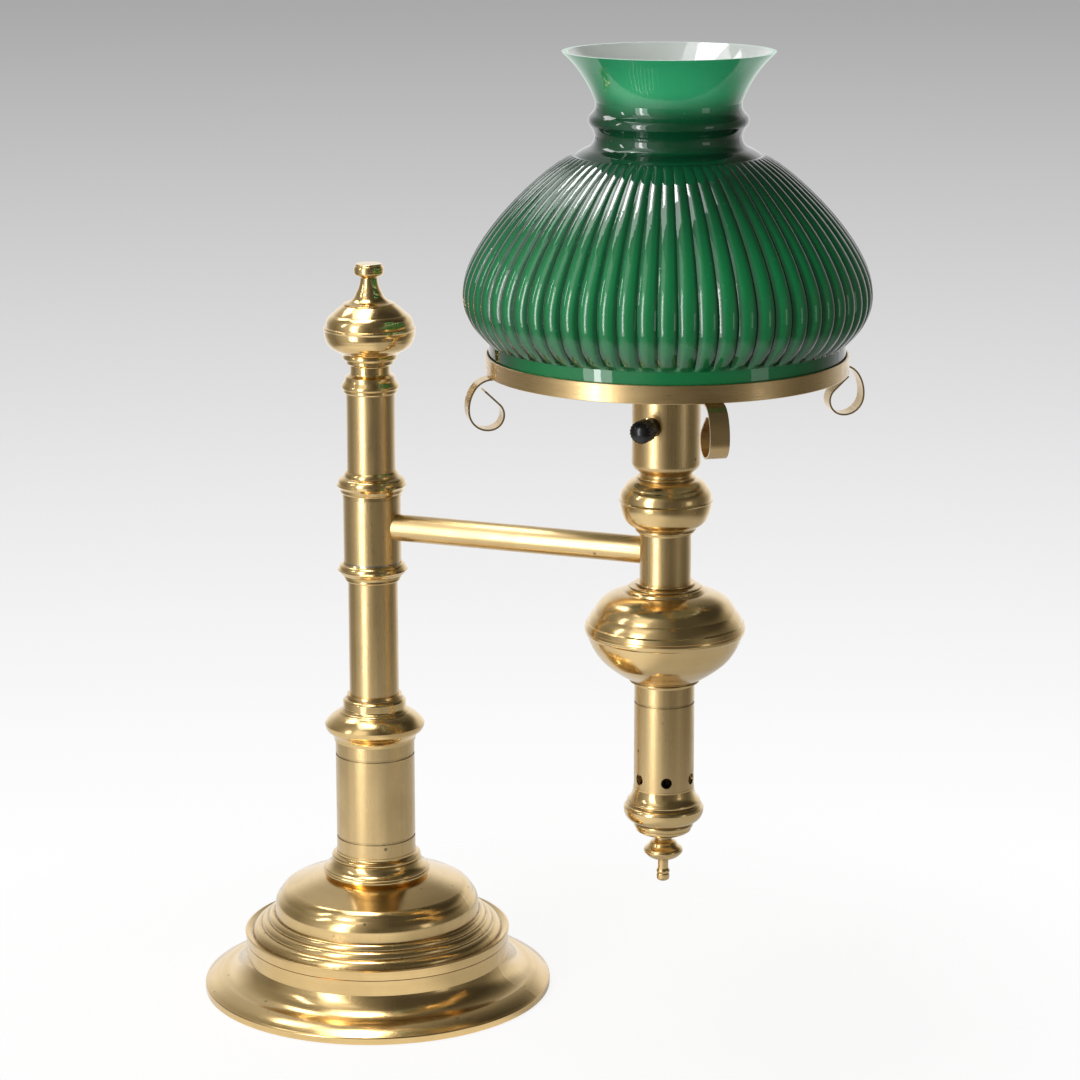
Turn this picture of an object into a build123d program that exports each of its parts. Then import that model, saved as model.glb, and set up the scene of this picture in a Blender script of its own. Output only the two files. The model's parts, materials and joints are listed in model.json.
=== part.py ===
from build123d import *
import os
from math import asin, cos, degrees, pi, radians, sin

# Student lamp: a weighted brass stand, a swivelling side arm, a burner-shaped light
# with a turn-switch socket, and a ribbed glass shade that rests in a brass ring.
# Millimetres. The origin is on the column's axis at the table, +Z up, the arm along +X.

# Stock and fits
sheet = 1.0
fit_gap = 0.05
run_gap = 0.06
end_gap = 0.15
rest_gap = 0.3
bead = 0.8

# Foot, from the table up
felt_thick = 1.5
felt_inset = 3.0
foot_r = 92.4
foot_lift = 0.5
foot_edge = 4.4
flange_r = 83.0
flange_height = 8.4
cove_height = 18.4
drum_r = 70.0
foot_height = 26.4

# Dome over the foot, each height counted from the seam
skirt_height = 5.6
skirt_lip = 0.6
step_in = (3.6, 8.4, 12.0)
step_height = (4.8, 8.8, 12.0)
dome_in = 15.5
dome_base = 14.9
dome_shoulder_in = 22.6
dome_shoulder_height = 29.8
dome_neck_r = 26.4
dome_height = 36.4

# Ballast and clamp under the dome
weight_gap = 2.5
weight_height = 21.0
weight_boss_r = 20.0
nut_bore_r = 14.0
nut_bore_depth = 14.5
nut_flats = 16.0
nut_thick = 5.0
washer_r = 12.5
washer_thick = 1.5
pipe_r = 4.85
pipe_bore_r = 3.1
lead_r = 1.9
lead_channel = 7.0
lead_run_height = 5.5
lead_bend = 6.0

# Cord inlet at the back of the drum
inlet_height = 21.2
inlet_hole_r = 3.4
inlet_bore_r = 2.3
inlet_flange_r = 4.6
inlet_flange_thick = 1.2
inlet_tail = 2.6

# Column mouldings and tubes
base_collar_height = 13.0
base_collar_r = 28.2
base_collar_lip = 2.6
base_collar_roll_r = 23.2
base_collar_roll_height = 8.4
sleeve_r = 20.85
sleeve_wall = 1.2
sleeve_height = 61.0
sleeve_groove = 0.5
sleeve_groove_width = 1.4
sleeve_groove_low = 7.6
sleeve_groove_high = 53.0
column_collar_height = 24.9
column_collar_r = 26.3
column_collar_ridge = 9.0
column_collar_step_r = (19.4, 17.4, 16.6)
column_collar_step_height = (15.0, 16.6, 21.4)
column_collar_lip_r = 14.6
lower_tube_r = 13.05
lower_tube_show = 61.5
upper_tube_r = 12.6
upper_tube_show = 41.0

# Swivel
spindle_r = 11.3
spindle_chamber_r = 8.6
spindle_plug = 12.0
spindle_reach = 18.0
lower_ring_height = 10.0
lower_ring_r = 18.4
thrust_thick = 0.6
thrust_inset = 0.5
arm_sleeve_r = 15.1
arm_sleeve_height = 34.1
arm_rise = 18.45
upper_ring_height = 13.6
upper_ring_r = 18.3
swing = 100.0
stop_slack = 1.5
stop_tip_r = 4.0
stop_tip_depth = 2.0
slot_clearance = 0.7

# Column top
cap_height = 20.0
cap_lip_r = 14.7
cap_neck_r = 10.4
cap_spigot = 8.0
top_rod_r = 3.0
finial_r = 23.9
finial_seat_r = 17.6
finial_bowl_height = 12.9
finial_dome_height = 13.2
finial_stem_r = 4.4
finial_stem_height = 14.2
finial_knob_r = 7.7
finial_knob_height = 6.9
rod_bite = 9.0

# Side arm
reach = 162.3
arm_r = 7.0
arm_wall = 1.0
nipple_length = 14.0
nipple_bore_r = 2.4
lead_sweep = 8.5

# Burner tube and the rod through the burner
burner_tube_r = 13.0
burner_tube_wall = 1.5
burner_tube_below = 15.2
burner_tube_above = 10.1
plug_thick = 5.0
burner_rod_r = 3.0
nipple_r = 4.85
nipple_top = 5.0

# Ball under the socket
ball_r = 23.7
ball_bead_r = 15.2
ball_low_height = 16.3
ball_high_height = 14.4
ball_neck_r = 13.2
ball_lip_r = 14.6

# Font, the bulb below the arm
font_r = 40.9
font_high_height = 23.6
font_low_height = 29.6
font_ledge_r = 29.6
font_ledge_drop = 7.8
font_neck_r = 17.9
font_lip_r = 14.8
font_foot_r = 17.7

# Canister, drip cup and finial
canister_r = 15.35
canister_wall = 1.0
canister_height = 54.4
canister_groove = 0.5
canister_groove_width = 1.3
canister_groove_drop = 8.6
vent_r = 2.8
vent_height = 5.2
vent_count = 6
vent_turn = -5.2
cup_r = 20.4
cup_height = 26.4
cup_belly_height = 14.2
cup_bowl_r = 15.3
cup_foot_r = 7.2
drop_r = 10.0
drop_height = 13.2
drop_neck_r = 4.1
drop_waist_r = 2.7
drop_tip_r = 3.3
drop_tip_height = 11.4

# Socket
socket_r = 17.35
socket_wall = 0.8
socket_height = 47.0
socket_round = 6.3
core_height = 27.0
core_r = 15.9
rim_r = 16.1
rim_wall = 1.5
rim_height = 25.0
screw_shell_r = 13.95
screw_shell_wall = 0.5
contact_r = 4.0
contact_thick = 1.2

# Switch
switch_height = 26.2
switch_turn = -94.0
bushing_r = 5.2
bushing_flange = 1.2
bushing_tube_r = 3.5
bushing_depth = 6.0
shaft_r = 2.5
shaft_tail = 2.0
knob_neck_r = 3.9
knob_neck = 5.0
knob_r = 5.7
knob_length = 10.6
knob_flutes = 20
knob_flute_r = 0.6
knob_crown = 2.4

# Shade holder
ring_r = 90.5
ring_thick = 1.0
ring_height = 9.0
strip_width = 9.5
strip_thick = 0.9
hub_r = 21.5
hub_height = 4.1
holder_nut_r = 20.5
holder_nut_thick = 3.0
scroll_start = 1.2
scroll_bends = ((10.8, 56.7), (17.9, 39.6), (9.7, 98.3), (7.3, 122.0))
scroll_tail = 10.0
scroll_count = 4
scroll_turn = -56.0

# Shade: crest radii and rib depths at heights above the fitter's edge
glass = 3.4
fitter_slack = 0.7
fitter_height = 15.0
rib_count = 64
rib_rows = (
    (15.0, 89.4, 0.15),
    (17.0, 91.4, 1.3),
    (20.4, 94.5, 1.8),
    (26.4, 98.6, 2.0),
    (36.4, 101.4, 2.1),
    (47.4, 100.2, 2.0),
    (58.4, 95.6, 1.9),
    (69.4, 88.6, 1.7),
    (80.4, 79.6, 1.5),
    (91.4, 68.6, 1.2),
    (101.4, 56.6, 0.9),
    (107.0, 47.6, 0.3),
)
shoulder_r = 40.0
shoulder_height = 110.4
neck_r = 36.4
neck_height = 116.6
neck_bead_r = 39.4
neck_bead_height = 124.6
throat_r = 36.0
throat_height = 130.6
flare_r = 52.5
flare_height = 157.4

# Bulb
bulb_cap_r = 13.1
bulb_cap_height = 23.0
bulb_neck_r = 14.0
bulb_r = 30.0
bulb_height = 110.0
bulb_glass = 1.0

# Radii on the dome, counted in from the drum
step_r = [drum_r - inset for inset in step_in]
dome_r = drum_r - dome_in
dome_shoulder_r = drum_r - dome_shoulder_in

# Levels on the column, each one resting on the one before
seam_z = foot_height
dome_top = seam_z + dome_height
sleeve_z = dome_top + base_collar_height
column_collar_z = sleeve_z + sleeve_height
lower_tube_z = column_collar_z + column_collar_height
lower_ring_z = lower_tube_z + lower_tube_show
thrust_z = lower_ring_z + lower_ring_height
arm_sleeve_z = thrust_z + thrust_thick + end_gap
upper_ring_z = arm_sleeve_z + arm_sleeve_height + end_gap
upper_tube_z = upper_ring_z + upper_ring_height
cap_z = upper_tube_z + upper_tube_show
finial_z = cap_z + cap_height
finial_seam_z = finial_z + finial_bowl_height
knob_seat_z = finial_seam_z + finial_dome_height
arm_z = arm_sleeve_z + arm_rise

# Levels on the burner, counted up and down from the arm
burner_top_z = arm_z + burner_tube_above
ball_seam_z = burner_top_z + ball_low_height
socket_z = ball_seam_z + ball_high_height
socket_top_z = socket_z + socket_height
strip_z = socket_top_z + rest_gap + hub_height
ring_z = strip_z + strip_thick
shade_z = ring_z + rest_gap
font_top_z = arm_z - burner_tube_below
font_seam_z = font_top_z - font_high_height
canister_top_z = font_seam_z - font_low_height
canister_z = canister_top_z - canister_height
cup_z = canister_z - cup_height
core_top_z = socket_z + 4 * sheet + core_height
bore_r = spindle_r + fit_gap
column_bore_r = lower_tube_r + fit_gap
rod_hole_r = burner_rod_r + fit_gap

column = Plane.XZ
burner = Plane(origin=(reach, 0, 0), x_dir=(1, 0, 0), z_dir=(0, -1, 0))
column_axis = Axis.Z
burner_axis = Axis((reach, 0, 0), (0, 0, 1))
switch_way = (cos(radians(switch_turn)), sin(radians(switch_turn)), 0)


def outline(*corners):
    """Draw a closed turned profile through (radius, height) corners.

    A third number bulges the run that ends at that corner: outwards when it is positive,
    inwards when it is negative.
    """
    start = corners[-1][:2]
    for corner in corners:
        end = corner[:2]
        if len(corner) == 3:
            side = -1 if end[1] > start[1] else 1
            SagittaArc(start, end, side * corner[2])
        else:
            Line(start, end)
        start = end


def finish(piece, name):
    """Label a finished piece and write its file."""
    piece.part.label = name
    export_step(piece.part, f"parts/{name}.step")


os.makedirs("parts", exist_ok=True)

# Felt pad, glued under the ballast inside the foot's rim
with BuildPart() as felt_pad:
    with BuildSketch():
        Circle(foot_r - felt_inset)
    extrude(amount=felt_thick)
finish(felt_pad, "felt_pad")

# Foot: a spun flange that turns up through a cove into a short drum, with a hole for the
# cord's bushing and a flat seat milled round it
with BuildPart() as foot_flange:
    with BuildSketch(column):
        with BuildLine():
            outline(
                (foot_r - sheet, foot_lift),
                (foot_r, foot_lift),
                (foot_r, foot_edge - bead),
                (foot_r - bead, foot_edge, 0.2 * bead),
                (flange_r, flange_height, 0.6 * bead),
                (drum_r, cove_height, -3 * bead),
                (drum_r, seam_z),
                (drum_r - sheet, seam_z),
                (drum_r - sheet, cove_height - sheet),
                (flange_r - 0.5 * sheet, flange_height - sheet, -3 * bead),
                (foot_r - sheet, foot_edge - sheet, 0.6 * bead),
            )
        make_face()
    revolve(axis=column_axis)
    with BuildSketch(Plane.YZ):
        with Locations((0, inlet_height)):
            Circle(inlet_hole_r)
    extrude(amount=-foot_r, mode=Mode.SUBTRACT)
    with BuildSketch(Plane.YZ.offset(-drum_r)):
        with Locations((0, inlet_height)):
            Circle(inlet_flange_r + rest_gap)
    extrude(amount=drum_r - foot_r, mode=Mode.SUBTRACT)
finish(foot_flange, "foot_flange")

# Dome: skirt, three rolled steps and an ogee crown, spun as one shell
skirt_z = seam_z + skirt_height
crown_z = seam_z + dome_base
shoulder_z = seam_z + dome_shoulder_height
with BuildPart() as base_dome:
    with BuildSketch(column):
        with BuildLine():
            outline(
                (drum_r - sheet, seam_z + fit_gap),
                (drum_r - 0.5 * bead, seam_z + fit_gap),
                (drum_r, seam_z + 0.5 * bead),
                (drum_r + skirt_lip, skirt_z - 0.5 * bead),
                (drum_r - 0.5 * bead, skirt_z),
                (step_r[0], seam_z + step_height[0]),
                (step_r[1], seam_z + step_height[1], 1.6 * bead),
                (step_r[2], seam_z + step_height[2], 1.4 * bead),
                (dome_r, crown_z, 1.4 * bead),
                (dome_r - 0.4 * bead, crown_z + 5 * bead),
                (dome_shoulder_r + 5 * bead, shoulder_z - 5 * bead, bead),
                (dome_shoulder_r, shoulder_z, 0.6 * bead),
                (dome_neck_r + 2 * bead, dome_top - 0.8 * bead, 0.4 * bead),
                (dome_neck_r, dome_top),
                (pipe_r + fit_gap, dome_top),
                (pipe_r + fit_gap, dome_top - sheet),
                (weight_boss_r + sheet, dome_top - sheet),
                (dome_neck_r, dome_top - bead - sheet),
                (dome_shoulder_r - sheet, shoulder_z - sheet, 0.4 * bead),
                (dome_shoulder_r + 5 * bead - sheet, shoulder_z - 5 * bead - 0.5 * sheet, 0.6 * bead),
                (dome_r - 0.4 * bead - sheet, crown_z + 5 * bead, bead),
                (dome_r - sheet, crown_z),
                (step_r[2] - sheet, seam_z + step_height[1]),
                (step_r[0] - sheet, seam_z + step_height[0] - bead),
                (drum_r - sheet, skirt_z - sheet),
            )
        make_face()
    revolve(axis=column_axis)
finish(base_dome, "base_dome")

# Ballast: an iron disc with a boss that carries the dome's crown, bored for the pipe,
# with a pocket for the nut and a channel for the lead
weight_r = drum_r - sheet - weight_gap
with BuildPart() as base_weight:
    with BuildSketch(Plane.XY.offset(felt_thick)):
        Circle(weight_r)
    extrude(amount=weight_height)
    with BuildSketch(Plane.XY.offset(felt_thick + weight_height)):
        Circle(weight_boss_r)
    extrude(amount=dome_top - sheet - felt_thick - weight_height)
    with BuildSketch(Plane.XY.offset(felt_thick)):
        Circle(pipe_r + fit_gap)
    extrude(amount=dome_top, mode=Mode.SUBTRACT)
    with BuildSketch(Plane.XY.offset(felt_thick)):
        Circle(nut_bore_r)
    extrude(amount=nut_bore_depth, mode=Mode.SUBTRACT)
    with BuildSketch(Plane.XY.offset(felt_thick)):
        with Locations((-weight_r / 2, 0)):
            Rectangle(weight_r, lead_channel)
    extrude(amount=lead_channel, mode=Mode.SUBTRACT)
    with BuildSketch(Plane.XY.offset(felt_thick)):
        with Locations((-weight_r, 0)):
            Rectangle(4 * lead_channel, lead_channel)
    extrude(amount=weight_height, mode=Mode.SUBTRACT)
finish(base_weight, "base_weight")

nut_seat_z = felt_thick + nut_bore_depth
with BuildPart() as base_washer:
    with BuildSketch(Plane.XY.offset(nut_seat_z - washer_thick)):
        Circle(washer_r)
        Circle(pipe_r + fit_gap, mode=Mode.SUBTRACT)
    extrude(amount=washer_thick)
finish(base_washer, "base_washer")

pipe_z = nut_seat_z - washer_thick - nut_thick
with BuildPart() as base_nut:
    with BuildSketch(Plane.XY.offset(pipe_z)):
        RegularPolygon(nut_flats / 2, 6, major_radius=False)
        Circle(pipe_r + fit_gap, mode=Mode.SUBTRACT)
    extrude(amount=nut_thick)
finish(base_nut, "base_nut")

# Hollow pipe that draws the stand together, from the nut to the spindle's lower plug
spindle_z = lower_ring_z - spindle_reach
chamber_z = spindle_z + spindle_plug
with BuildPart() as lead_pipe:
    with BuildSketch(Plane.XY.offset(pipe_z)):
        Circle(pipe_r)
        Circle(pipe_bore_r, mode=Mode.SUBTRACT)
    extrude(amount=chamber_z - pipe_z)
finish(lead_pipe, "lead_pipe")

# Bushing that lines the cord inlet in the back of the drum
back = Plane(origin=(-drum_r - inlet_flange_thick - fit_gap, 0, inlet_height), x_dir=(0, 1, 0), z_dir=(1, 0, 0))
with BuildPart() as inlet_bushing:
    with BuildSketch(back):
        Circle(inlet_flange_r)
    extrude(amount=inlet_flange_thick)
    with BuildSketch(back):
        Circle(inlet_hole_r - fit_gap)
    extrude(amount=inlet_flange_thick + inlet_tail)
    with BuildSketch(back):
        Circle(inlet_bore_r)
    extrude(amount=inlet_flange_thick + inlet_tail, mode=Mode.SUBTRACT)
finish(inlet_bushing, "inlet_bushing")

# Lead inside the stand: in behind the ballast, under it, and up the pipe to the swivel
lead_start_x = -weight_r + 0.6 * lead_channel
lead_drop_x = -weight_r + 1.5 * lead_channel
lead_top_z = arm_z - lead_sweep
with BuildPart() as column_lead:
    with BuildLine(column):
        column_route = FilletPolyline(
            (lead_start_x, inlet_height),
            (lead_drop_x, inlet_height),
            (lead_drop_x, lead_run_height),
            (0, lead_run_height),
            (0, lead_top_z - rest_gap),
            radius=[0.5 * lead_bend, lead_bend, lead_bend],
        )
    with BuildSketch(Plane(column_route @ 0, z_dir=column_route % 0)):
        Circle(lead_r)
    sweep()
finish(column_lead, "column_lead")

# Turned collar that seats the column on the dome
with BuildPart() as base_collar:
    with BuildSketch(column):
        with BuildLine():
            outline(
                (column_bore_r, dome_top),
                (dome_neck_r, dome_top),
                (base_collar_r, dome_top + bead),
                (base_collar_r, dome_top + base_collar_lip, 0.2 * bead),
                (base_collar_r - 0.7 * bead, dome_top + base_collar_lip + 0.4 * bead),
                (base_collar_r - 0.7 * bead, dome_top + base_collar_lip + bead),
                (base_collar_r - bead, dome_top + base_collar_lip + 1.6 * bead),
                (base_collar_roll_r + 0.6 * bead, dome_top + base_collar_roll_height, -0.9 * bead),
                (base_collar_roll_r, dome_top + base_collar_roll_height + 0.4 * bead),
                (base_collar_roll_r, dome_top + base_collar_roll_height + 3 * bead, 0.5 * bead),
                (base_collar_roll_r - 1.5 * bead, sleeve_z - 2.2 * bead),
                (sleeve_r + 0.5 * bead, sleeve_z - bead, -0.3 * bead),
                (sleeve_r + 0.5 * bead, sleeve_z),
                (column_bore_r, sleeve_z),
            )
        make_face()
    revolve(axis=column_axis)
finish(base_collar, "base_collar")

# Wide lower sleeve with two engraved lines
groove_depth_r = sleeve_r - sleeve_groove
low_z = sleeve_z + sleeve_groove_low
high_z = sleeve_z + sleeve_groove_high
with BuildPart() as lower_sleeve:
    with BuildSketch(column):
        with BuildLine():
            outline(
                (sleeve_r - sleeve_wall, sleeve_z),
                (sleeve_r, sleeve_z),
                (sleeve_r, low_z),
                (groove_depth_r, low_z),
                (groove_depth_r, low_z + sleeve_groove_width),
                (sleeve_r, low_z + sleeve_groove_width),
                (sleeve_r, high_z),
                (groove_depth_r, high_z),
                (groove_depth_r, high_z + sleeve_groove_width),
                (sleeve_r, high_z + sleeve_groove_width),
                (sleeve_r, column_collar_z),
                (sleeve_r - sleeve_wall, column_collar_z),
            )
        make_face()
    revolve(axis=column_axis)
finish(lower_sleeve, "lower_sleeve")

# Spreading collar on top of the sleeve
ridge_z = column_collar_z + column_collar_ridge
collar_r_1, collar_r_2, collar_r_3 = column_collar_step_r
collar_z_1, collar_z_2, collar_z_3 = (column_collar_z + h for h in column_collar_step_height)
with BuildPart() as column_collar:
    with BuildSketch(column):
        with BuildLine():
            outline(
                (column_bore_r, column_collar_z),
                (sleeve_r + 0.8 * bead, column_collar_z),
                (sleeve_r + bead, column_collar_z + 2 * bead),
                (column_collar_r - 1.5 * bead, ridge_z - 4.5 * bead, -0.6 * bead),
                (column_collar_r, ridge_z, 0.4 * bead),
                (collar_r_1, collar_z_1, 0.8 * bead),
                (collar_r_1 - 0.6 * bead, collar_z_1 + 0.4 * bead),
                (collar_r_2 + 0.3 * bead, collar_z_2 - 0.3 * bead, 0.2 * bead),
                (collar_r_2 - 0.4 * bead, collar_z_2 + 0.4 * bead),
                (collar_r_3, collar_z_2 + 2 * bead, -0.3 * bead),
                (collar_r_3, collar_z_3),
                (column_collar_lip_r - 0.4 * bead, lower_tube_z - 2.6 * bead, 0.4 * bead),
                (column_collar_lip_r - 0.4 * bead, lower_tube_z - 2 * bead),
                (column_collar_lip_r, lower_tube_z - 1.4 * bead),
                (column_collar_lip_r - 0.3 * bead, lower_tube_z),
                (column_bore_r, lower_tube_z),
            )
        make_face()
    revolve(axis=column_axis)
finish(column_collar, "column_collar")

# Lower column tube, from the dome's crown to the lower swivel ring
with BuildPart() as lower_tube:
    with BuildSketch(Plane.XY.offset(dome_top)):
        Circle(lower_tube_r)
        Circle(bore_r, mode=Mode.SUBTRACT)
    extrude(amount=lower_ring_z - dome_top)
finish(lower_tube, "lower_tube")

# Fixed ring that carries the swinging sleeve
with BuildPart() as lower_ring:
    with BuildSketch(column):
        with BuildLine():
            outline(
                (bore_r, lower_ring_z),
                (lower_tube_r + bead, lower_ring_z),
                (lower_tube_r + 1.7 * bead, lower_ring_z + bead, 0.2 * bead),
                (lower_tube_r + 1.4 * bead, lower_ring_z + 2 * bead),
                (lower_tube_r + 2.7 * bead, lower_ring_z + 2.5 * bead),
                (lower_tube_r + 2.9 * bead, lower_ring_z + 4 * bead),
                (lower_ring_r - bead, lower_ring_z + 6.5 * bead, 0.4 * bead),
                (lower_ring_r, lower_ring_z + 7.5 * bead),
                (lower_ring_r - bead, lower_ring_z + 8.5 * bead),
                (arm_sleeve_r + bead, thrust_z - bead, 0.6 * bead),
                (arm_sleeve_r + 0.5 * bead, thrust_z),
                (bore_r, thrust_z),
            )
        make_face()
    revolve(axis=column_axis)
finish(lower_ring, "lower_ring")

with BuildPart() as thrust_washer:
    with BuildSketch(Plane.XY.offset(thrust_z)):
        Circle(arm_sleeve_r - thrust_inset)
        Circle(bore_r, mode=Mode.SUBTRACT)
    extrude(amount=thrust_thick)
finish(thrust_washer, "thrust_washer")

# Spindle inside the swivel: plugs at both ends, a chamber for the lead, and a slot in
# which the arm's tip turns until it meets the slot's end
spindle_top_z = upper_tube_z + spindle_reach
tip_r = spindle_r - stop_tip_depth
slot_half = swing + degrees(asin(stop_tip_r / tip_r)) + stop_slack
slot_tall = 2 * (stop_tip_r + slot_clearance)
with BuildPart() as spindle:
    with BuildSketch(Plane.XY.offset(spindle_z)):
        Circle(spindle_r)
    extrude(amount=spindle_top_z - spindle_z)
    with BuildSketch(Plane.XY.offset(chamber_z)):
        Circle(spindle_chamber_r)
    extrude(amount=spindle_top_z - chamber_z - spindle_plug, mode=Mode.SUBTRACT)
    with BuildSketch(Plane.XY.offset(spindle_z)):
        Circle(pipe_r + fit_gap)
    extrude(amount=spindle_plug, mode=Mode.SUBTRACT)
    with BuildSketch(Plane.XY.offset(spindle_top_z - spindle_plug)):
        Circle(top_rod_r + fit_gap)
    extrude(amount=spindle_plug, mode=Mode.SUBTRACT)
    with BuildSketch(Plane.XY.offset(arm_z - slot_tall / 2)):
        with BuildLine():
            slot_arc = CenterArc((0, 0), 2 * spindle_r, -slot_half, 2 * slot_half)
            Line(slot_arc @ 1, (0, 0))
            Line((0, 0), slot_arc @ 0)
        make_face()
    extrude(amount=slot_tall, mode=Mode.SUBTRACT)
finish(spindle, "spindle")

# Fixed ring above the swinging sleeve
with BuildPart() as upper_ring:
    with BuildSketch(column):
        with BuildLine():
            outline(
                (bore_r, upper_ring_z),
                (arm_sleeve_r + 0.5 * bead, upper_ring_z),
                (arm_sleeve_r + 0.6 * bead, upper_ring_z + 2.2 * bead),
                (arm_sleeve_r + 1.9 * bead, upper_ring_z + 3.5 * bead, -0.2 * bead),
                (arm_sleeve_r + 2.2 * bead, upper_ring_z + 5.5 * bead),
                (upper_ring_r, upper_ring_z + 7.6 * bead),
                (upper_ring_r - bead, upper_ring_z + 9 * bead),
                (arm_sleeve_r + bead, upper_ring_z + 12.5 * bead, 0.7 * bead),
                (arm_sleeve_r, upper_ring_z + 13 * bead),
                (upper_tube_r + 2 * bead, upper_ring_z + 13.5 * bead),
                (upper_tube_r + 1.4 * bead, upper_tube_z - bead, 0.3 * bead),
                (upper_tube_r + 0.5 * bead, upper_tube_z),
                (bore_r, upper_tube_z),
            )
        make_face()
    revolve(axis=column_axis)
finish(upper_ring, "upper_ring")

with BuildPart() as upper_tube:
    with BuildSketch(Plane.XY.offset(upper_tube_z)):
        Circle(upper_tube_r)
        Circle(bore_r, mode=Mode.SUBTRACT)
    extrude(amount=upper_tube_show)
finish(upper_tube, "upper_tube")

# Turned cap with a spigot in the upper tube
with BuildPart() as column_cap:
    with BuildSketch(column):
        with BuildLine():
            outline(
                (top_rod_r + fit_gap, cap_z - cap_spigot),
                (spindle_r, cap_z - cap_spigot),
                (spindle_r, cap_z),
                (upper_tube_r + 1.2 * bead, cap_z),
                (upper_tube_r + 1.8 * bead, cap_z + bead),
                (upper_tube_r + 1.8 * bead, cap_z + 2.5 * bead),
                (cap_lip_r, cap_z + 3.2 * bead),
                (cap_lip_r, cap_z + 5.5 * bead, 0.3 * bead),
                (upper_tube_r + bead, cap_z + 8 * bead),
                (upper_tube_r + 0.5 * bead, cap_z + 11 * bead, -0.2 * bead),
                (cap_neck_r + bead, cap_z + 12 * bead),
                (cap_neck_r, cap_z + 13.5 * bead, -0.3 * bead),
                (cap_neck_r, finial_z - 7.5 * bead),
                (cap_neck_r + bead, finial_z - 6 * bead, -0.3 * bead),
                (cap_neck_r + 2.3 * bead, finial_z - 5.4 * bead),
                (cap_neck_r + 2.5 * bead, finial_z - 3.5 * bead),
                (cap_lip_r - bead, finial_z - 2.5 * bead),
                (cap_lip_r - bead, finial_z, 0.4 * bead),
                (top_rod_r + fit_gap, finial_z),
            )
        make_face()
    revolve(axis=column_axis)
finish(column_cap, "column_cap")

# Rod that draws the finial down on the spindle
top_rod_z = spindle_top_z - spindle_plug + bead
with BuildPart() as top_rod:
    with BuildSketch(Plane.XY.offset(top_rod_z)):
        Circle(top_rod_r)
    extrude(amount=knob_seat_z + rod_bite - bead - top_rod_z)
finish(top_rod, "top_rod")

# Finial: a spun bowl, a spun dome and a screwed knob
with BuildPart() as finial_bowl:
    with BuildSketch(column):
        with BuildLine():
            outline(
                (top_rod_r + fit_gap, finial_z),
                (cap_lip_r - bead, finial_z),
                (finial_seat_r, finial_z + 3 * bead),
                (finial_r - bead, finial_seam_z - 5 * bead, 1.4 * bead),
                (finial_r - 0.5 * bead, finial_seam_z, 0.3 * bead),
                (finial_r - 0.5 * bead - sheet, finial_seam_z),
                (finial_r - bead - sheet, finial_seam_z - 5 * bead),
                (finial_seat_r - sheet, finial_z + 3 * bead + sheet, 1.4 * bead),
                (cap_lip_r - bead - sheet, finial_z + sheet),
                (top_rod_r + fit_gap, finial_z + sheet),
            )
        make_face()
    revolve(axis=column_axis)
finish(finial_bowl, "finial_bowl")

with BuildPart() as finial_dome:
    with BuildSketch(column):
        with BuildLine():
            outline(
                (finial_r - sheet - bead, finial_seam_z, bead),
                (finial_r - 0.5 * bead, finial_seam_z),
                (finial_r, finial_seam_z + bead),
                (finial_r - 0.6 * bead, finial_seam_z + 2 * bead),
                (finial_r - 1.7 * bead, finial_seam_z + 2.6 * bead),
                (finial_r - 6 * bead, finial_seam_z + 10.5 * bead, 1.4 * bead),
                (finial_stem_r + 11 * bead, knob_seat_z, 0.3 * bead),
                (top_rod_r + fit_gap, knob_seat_z),
                (top_rod_r + fit_gap, knob_seat_z - sheet),
                (finial_stem_r + 10 * bead, knob_seat_z - sheet),
                (finial_r - 6 * bead - sheet, finial_seam_z + 9.5 * bead - sheet, 0.3 * bead),
            )
        make_face()
    revolve(axis=column_axis)
finish(finial_dome, "finial_dome")

stem_top_z = knob_seat_z + finial_stem_height
with BuildPart() as finial_knob:
    with BuildSketch(column):
        with BuildLine():
            outline(
                (top_rod_r + fit_gap, knob_seat_z),
                (finial_stem_r + 11.2 * bead, knob_seat_z),
                (finial_stem_r + 11.2 * bead, knob_seat_z + 0.6 * bead, 0.2 * bead),
                (finial_stem_r + 10 * bead, knob_seat_z + 1.2 * bead),
                (finial_stem_r + 2.8 * bead, knob_seat_z + 8 * bead, -1.4 * bead),
                (finial_stem_r, stem_top_z - 0.5 * bead, -0.6 * bead),
                (finial_stem_r + 0.8 * bead, stem_top_z + 0.5 * bead),
                (finial_knob_r - 1.8 * bead, stem_top_z + 0.8 * bead),
                (finial_knob_r, stem_top_z + 4 * bead, 0.7 * bead),
                (finial_knob_r - bead, stem_top_z + finial_knob_height - 1.2 * bead, 0.5 * bead),
                (finial_knob_r - 1.6 * bead, stem_top_z + finial_knob_height, 0.3 * bead),
                (0, stem_top_z + finial_knob_height),
                (0, knob_seat_z + rod_bite),
                (top_rod_r + fit_gap, knob_seat_z + rod_bite),
            )
        make_face()
    revolve(axis=column_axis)
finish(finial_knob, "finial_knob")

# Swinging sleeve on the spindle, cross-bored for the arm's nipple
with BuildPart() as arm_sleeve:
    with BuildSketch(Plane.XY.offset(arm_sleeve_z)):
        Circle(arm_sleeve_r)
        Circle(spindle_r + run_gap, mode=Mode.SUBTRACT)
    extrude(amount=arm_sleeve_height)
    with BuildSketch(Plane.YZ):
        with Locations((0, arm_z)):
            Circle(stop_tip_r + fit_gap)
    extrude(amount=2 * arm_sleeve_r, mode=Mode.SUBTRACT)
finish(arm_sleeve, "arm_sleeve")

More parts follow.
